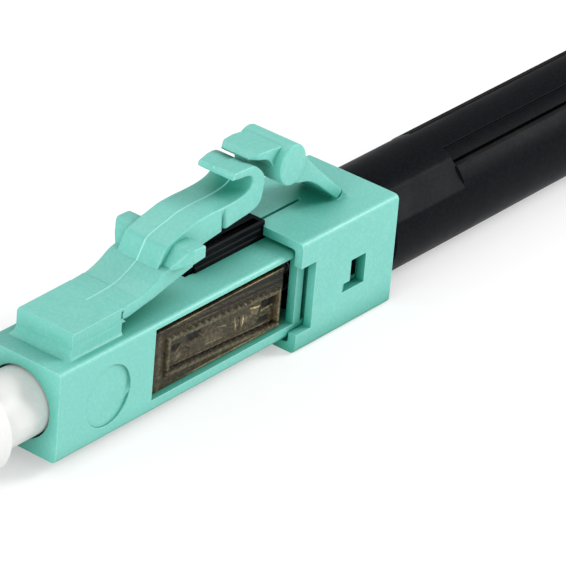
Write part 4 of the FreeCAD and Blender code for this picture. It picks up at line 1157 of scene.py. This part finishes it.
@dataclass
class Rail:
    """The black rail that stands up through the roof, with a ledge along each side."""
    front: float = 11.1
    back: float = 16.08
    far: float = 0.34
    foot: float = 2.2

    def build(self, finish: Material) -> None:
        """Make the rail.

        Args:
            finish: the black plastic.
        """
        near = [(-0.42, self.foot), (-0.42, 2.46), (-0.37, 2.5), (-0.37, 2.74), (-0.32, 2.78),
                (-0.32, 3.04), (-0.27, 3.1)]
        section = np.array(near + [(self.far - y, z) for y, z in reversed(near)])
        x = np.array([self.front, self.front + 0.02, self.back])
        shrink = np.array([0.97, 1.0, 1.0])[:, None]
        across, up = section[:, 0] * shrink, (section[:, 1] - self.foot) * shrink
        rings = np.stack([np.repeat(x[:, None], len(section), 1), across, self.foot + up], -1)
        piece = dress(finished(grid_mesh("roof_rail", rings), 25), "inner_body", finish)
        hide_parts("inner_body")


# --- stage

@dataclass
class Studio:
    """The pale floor, the soft lamps and the camera."""
    azimuth: float = -53.262
    elevation: float = 29.100
    roll: float = 5.05
    distance: float = 0.214575
    target: Place = (0.018277, 0.0, -0.001164)
    lens: float = 295.3
    floor_half: float = 1.2
    floor_grey: float = 0.88
    floor_share: float = 0.35
    floor_light: float = 1.15
    room_light: float = 0.5
    lamps: tuple[tuple[str, Place, float, float], ...] = (
        ("edge", (0.27, -0.165, 0.175), 0.14, 1.01), ("fill", (-0.34, -0.10, 0.12), 0.25, 1.2),
        ("rim", (0.10, 0.26, 0.26), 0.22, 0.3))

    def floor(self) -> None:
        """A plane under the part, white to the camera but for the part's shadow."""
        level = min(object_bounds()[0].z, CAD_BOX[0].z)
        mesh = bpy.data.meshes.new("floor")
        corners = [(a * self.floor_half, b * self.floor_half, level)
                   for a, b in ((-1, -1), (1, -1), (1, 1), (-1, 1))]
        mesh.from_pydata(corners, [], [(0, 1, 2, 3)])
        ground = put_in(bpy.data.objects.new("floor", mesh))
        ground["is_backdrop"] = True
        n = Nodes("floor_white")
        n.surface(Base_Color=(self.floor_grey,) * 3, Roughness=0.8, Specular_IOR_Level=0.1)
        rays = n.add("ShaderNodeLightPath").outputs
        seen = n.reckon("MAXIMUM", rays["Is Camera Ray"], rays["Is Glossy Ray"])
        seen = n.reckon("MAXIMUM", seen, rays["Is Transmission Ray"])
        lit = n.add("ShaderNodeEmission", Strength=self.floor_light)
        mix = n.add("ShaderNodeMixShader")
        n.link(n.reckon("MULTIPLY", seen, self.floor_share), mix.inputs[0])
        n.link(n.shader.outputs[0], mix.inputs[1])
        n.link(lit.outputs[0], mix.inputs[2])
        n.link(mix.outputs[0], n.output.inputs["Surface"])
        mesh.materials.append(n.material)

    def lamp(self, name: str, place: Place, size: float, power: float) -> None:
        """A square area lamp that faces the part.

        Args:
            name: the lamp's name.
            place: where it stands, in metres.
            size: its side.
            power: its power in watts.
        """
        data = bpy.data.lights.new(name, "AREA")
        data.size, data.energy = size, power
        lamp = put_in(bpy.data.objects.new(name, data))
        lamp.location = place
        lamp.rotation_mode = "QUATERNION"
        lamp.rotation_quaternion = (Vector(self.target) - Vector(place)).to_track_quat("-Z", "Y")

    def camera(self) -> None:
        """The camera, turned round the target by azimuth, elevation and roll."""
        data = bpy.data.cameras.new("camera")
        data.sensor_width, data.lens = 36.0, self.lens
        data.clip_start, data.clip_end = 0.01, 10.0
        camera = put_in(bpy.data.objects.new("camera", data))
        a, e = math.radians(self.azimuth), math.radians(self.elevation)
        back = Vector((math.sin(a) * math.cos(e), -math.cos(a) * math.cos(e), math.sin(e)))
        turn = (-back).to_track_quat("-Z", "Y").to_matrix().to_4x4()
        camera.matrix_world = (Matrix.Translation(Vector(self.target) + back * self.distance)
                               @ turn @ Matrix.Rotation(math.radians(self.roll), 4, "Z"))
        bpy.context.scene.camera = camera

    def build(self) -> None:
        """Set the stage, the lamps, the world and the camera."""
        self.floor()
        for row in self.lamps:
            self.lamp(*row)
        world = bpy.data.worlds.new("room")
        world.use_nodes = True
        sky = world.node_tree.nodes["Background"].inputs
        sky["Color"].default_value = (1, 1, 1, 1)
        sky["Strength"].default_value = self.room_light
        bpy.context.scene.world = world
        self.camera()
        bpy.context.scene.view_settings.view_transform = "Standard"


def main() -> None:
    """Dress the CAD nodes, build the finished pieces and set the stage."""
    logging.basicConfig(level=logging.INFO, format="%(message)s")
    finishes = (AQUA, WHITE, BLACK, AMBER, RELIEF, *CARRIED.values())
    made = {finish.name: finish.build() for finish in dict.fromkeys(finishes)}
    for node, finish in CARRIED.items():
        materials = frame["nodes"][node].data.materials
        materials.clear()
        materials.append(made[finish.name])
        log.info("%s carried over in %s", node, finish.name)
    aqua, black = made[AQUA.name], made[BLACK.name]
    Moulded().build({"plug_housing": aqua, "rear_sleeve": aqua, "inner_body": black,
                     "splice_holder": made[AMBER.name]})
    LatchArm().build(aqua)
    TriggerLever().build(aqua)
    Barrel().build(black)
    Rail().build(black)
    CarrierSides().build(made[RELIEF.name])
    DustCap().build(made[WHITE.name])
    Studio().build()


if __name__ == "__main__":
    main()
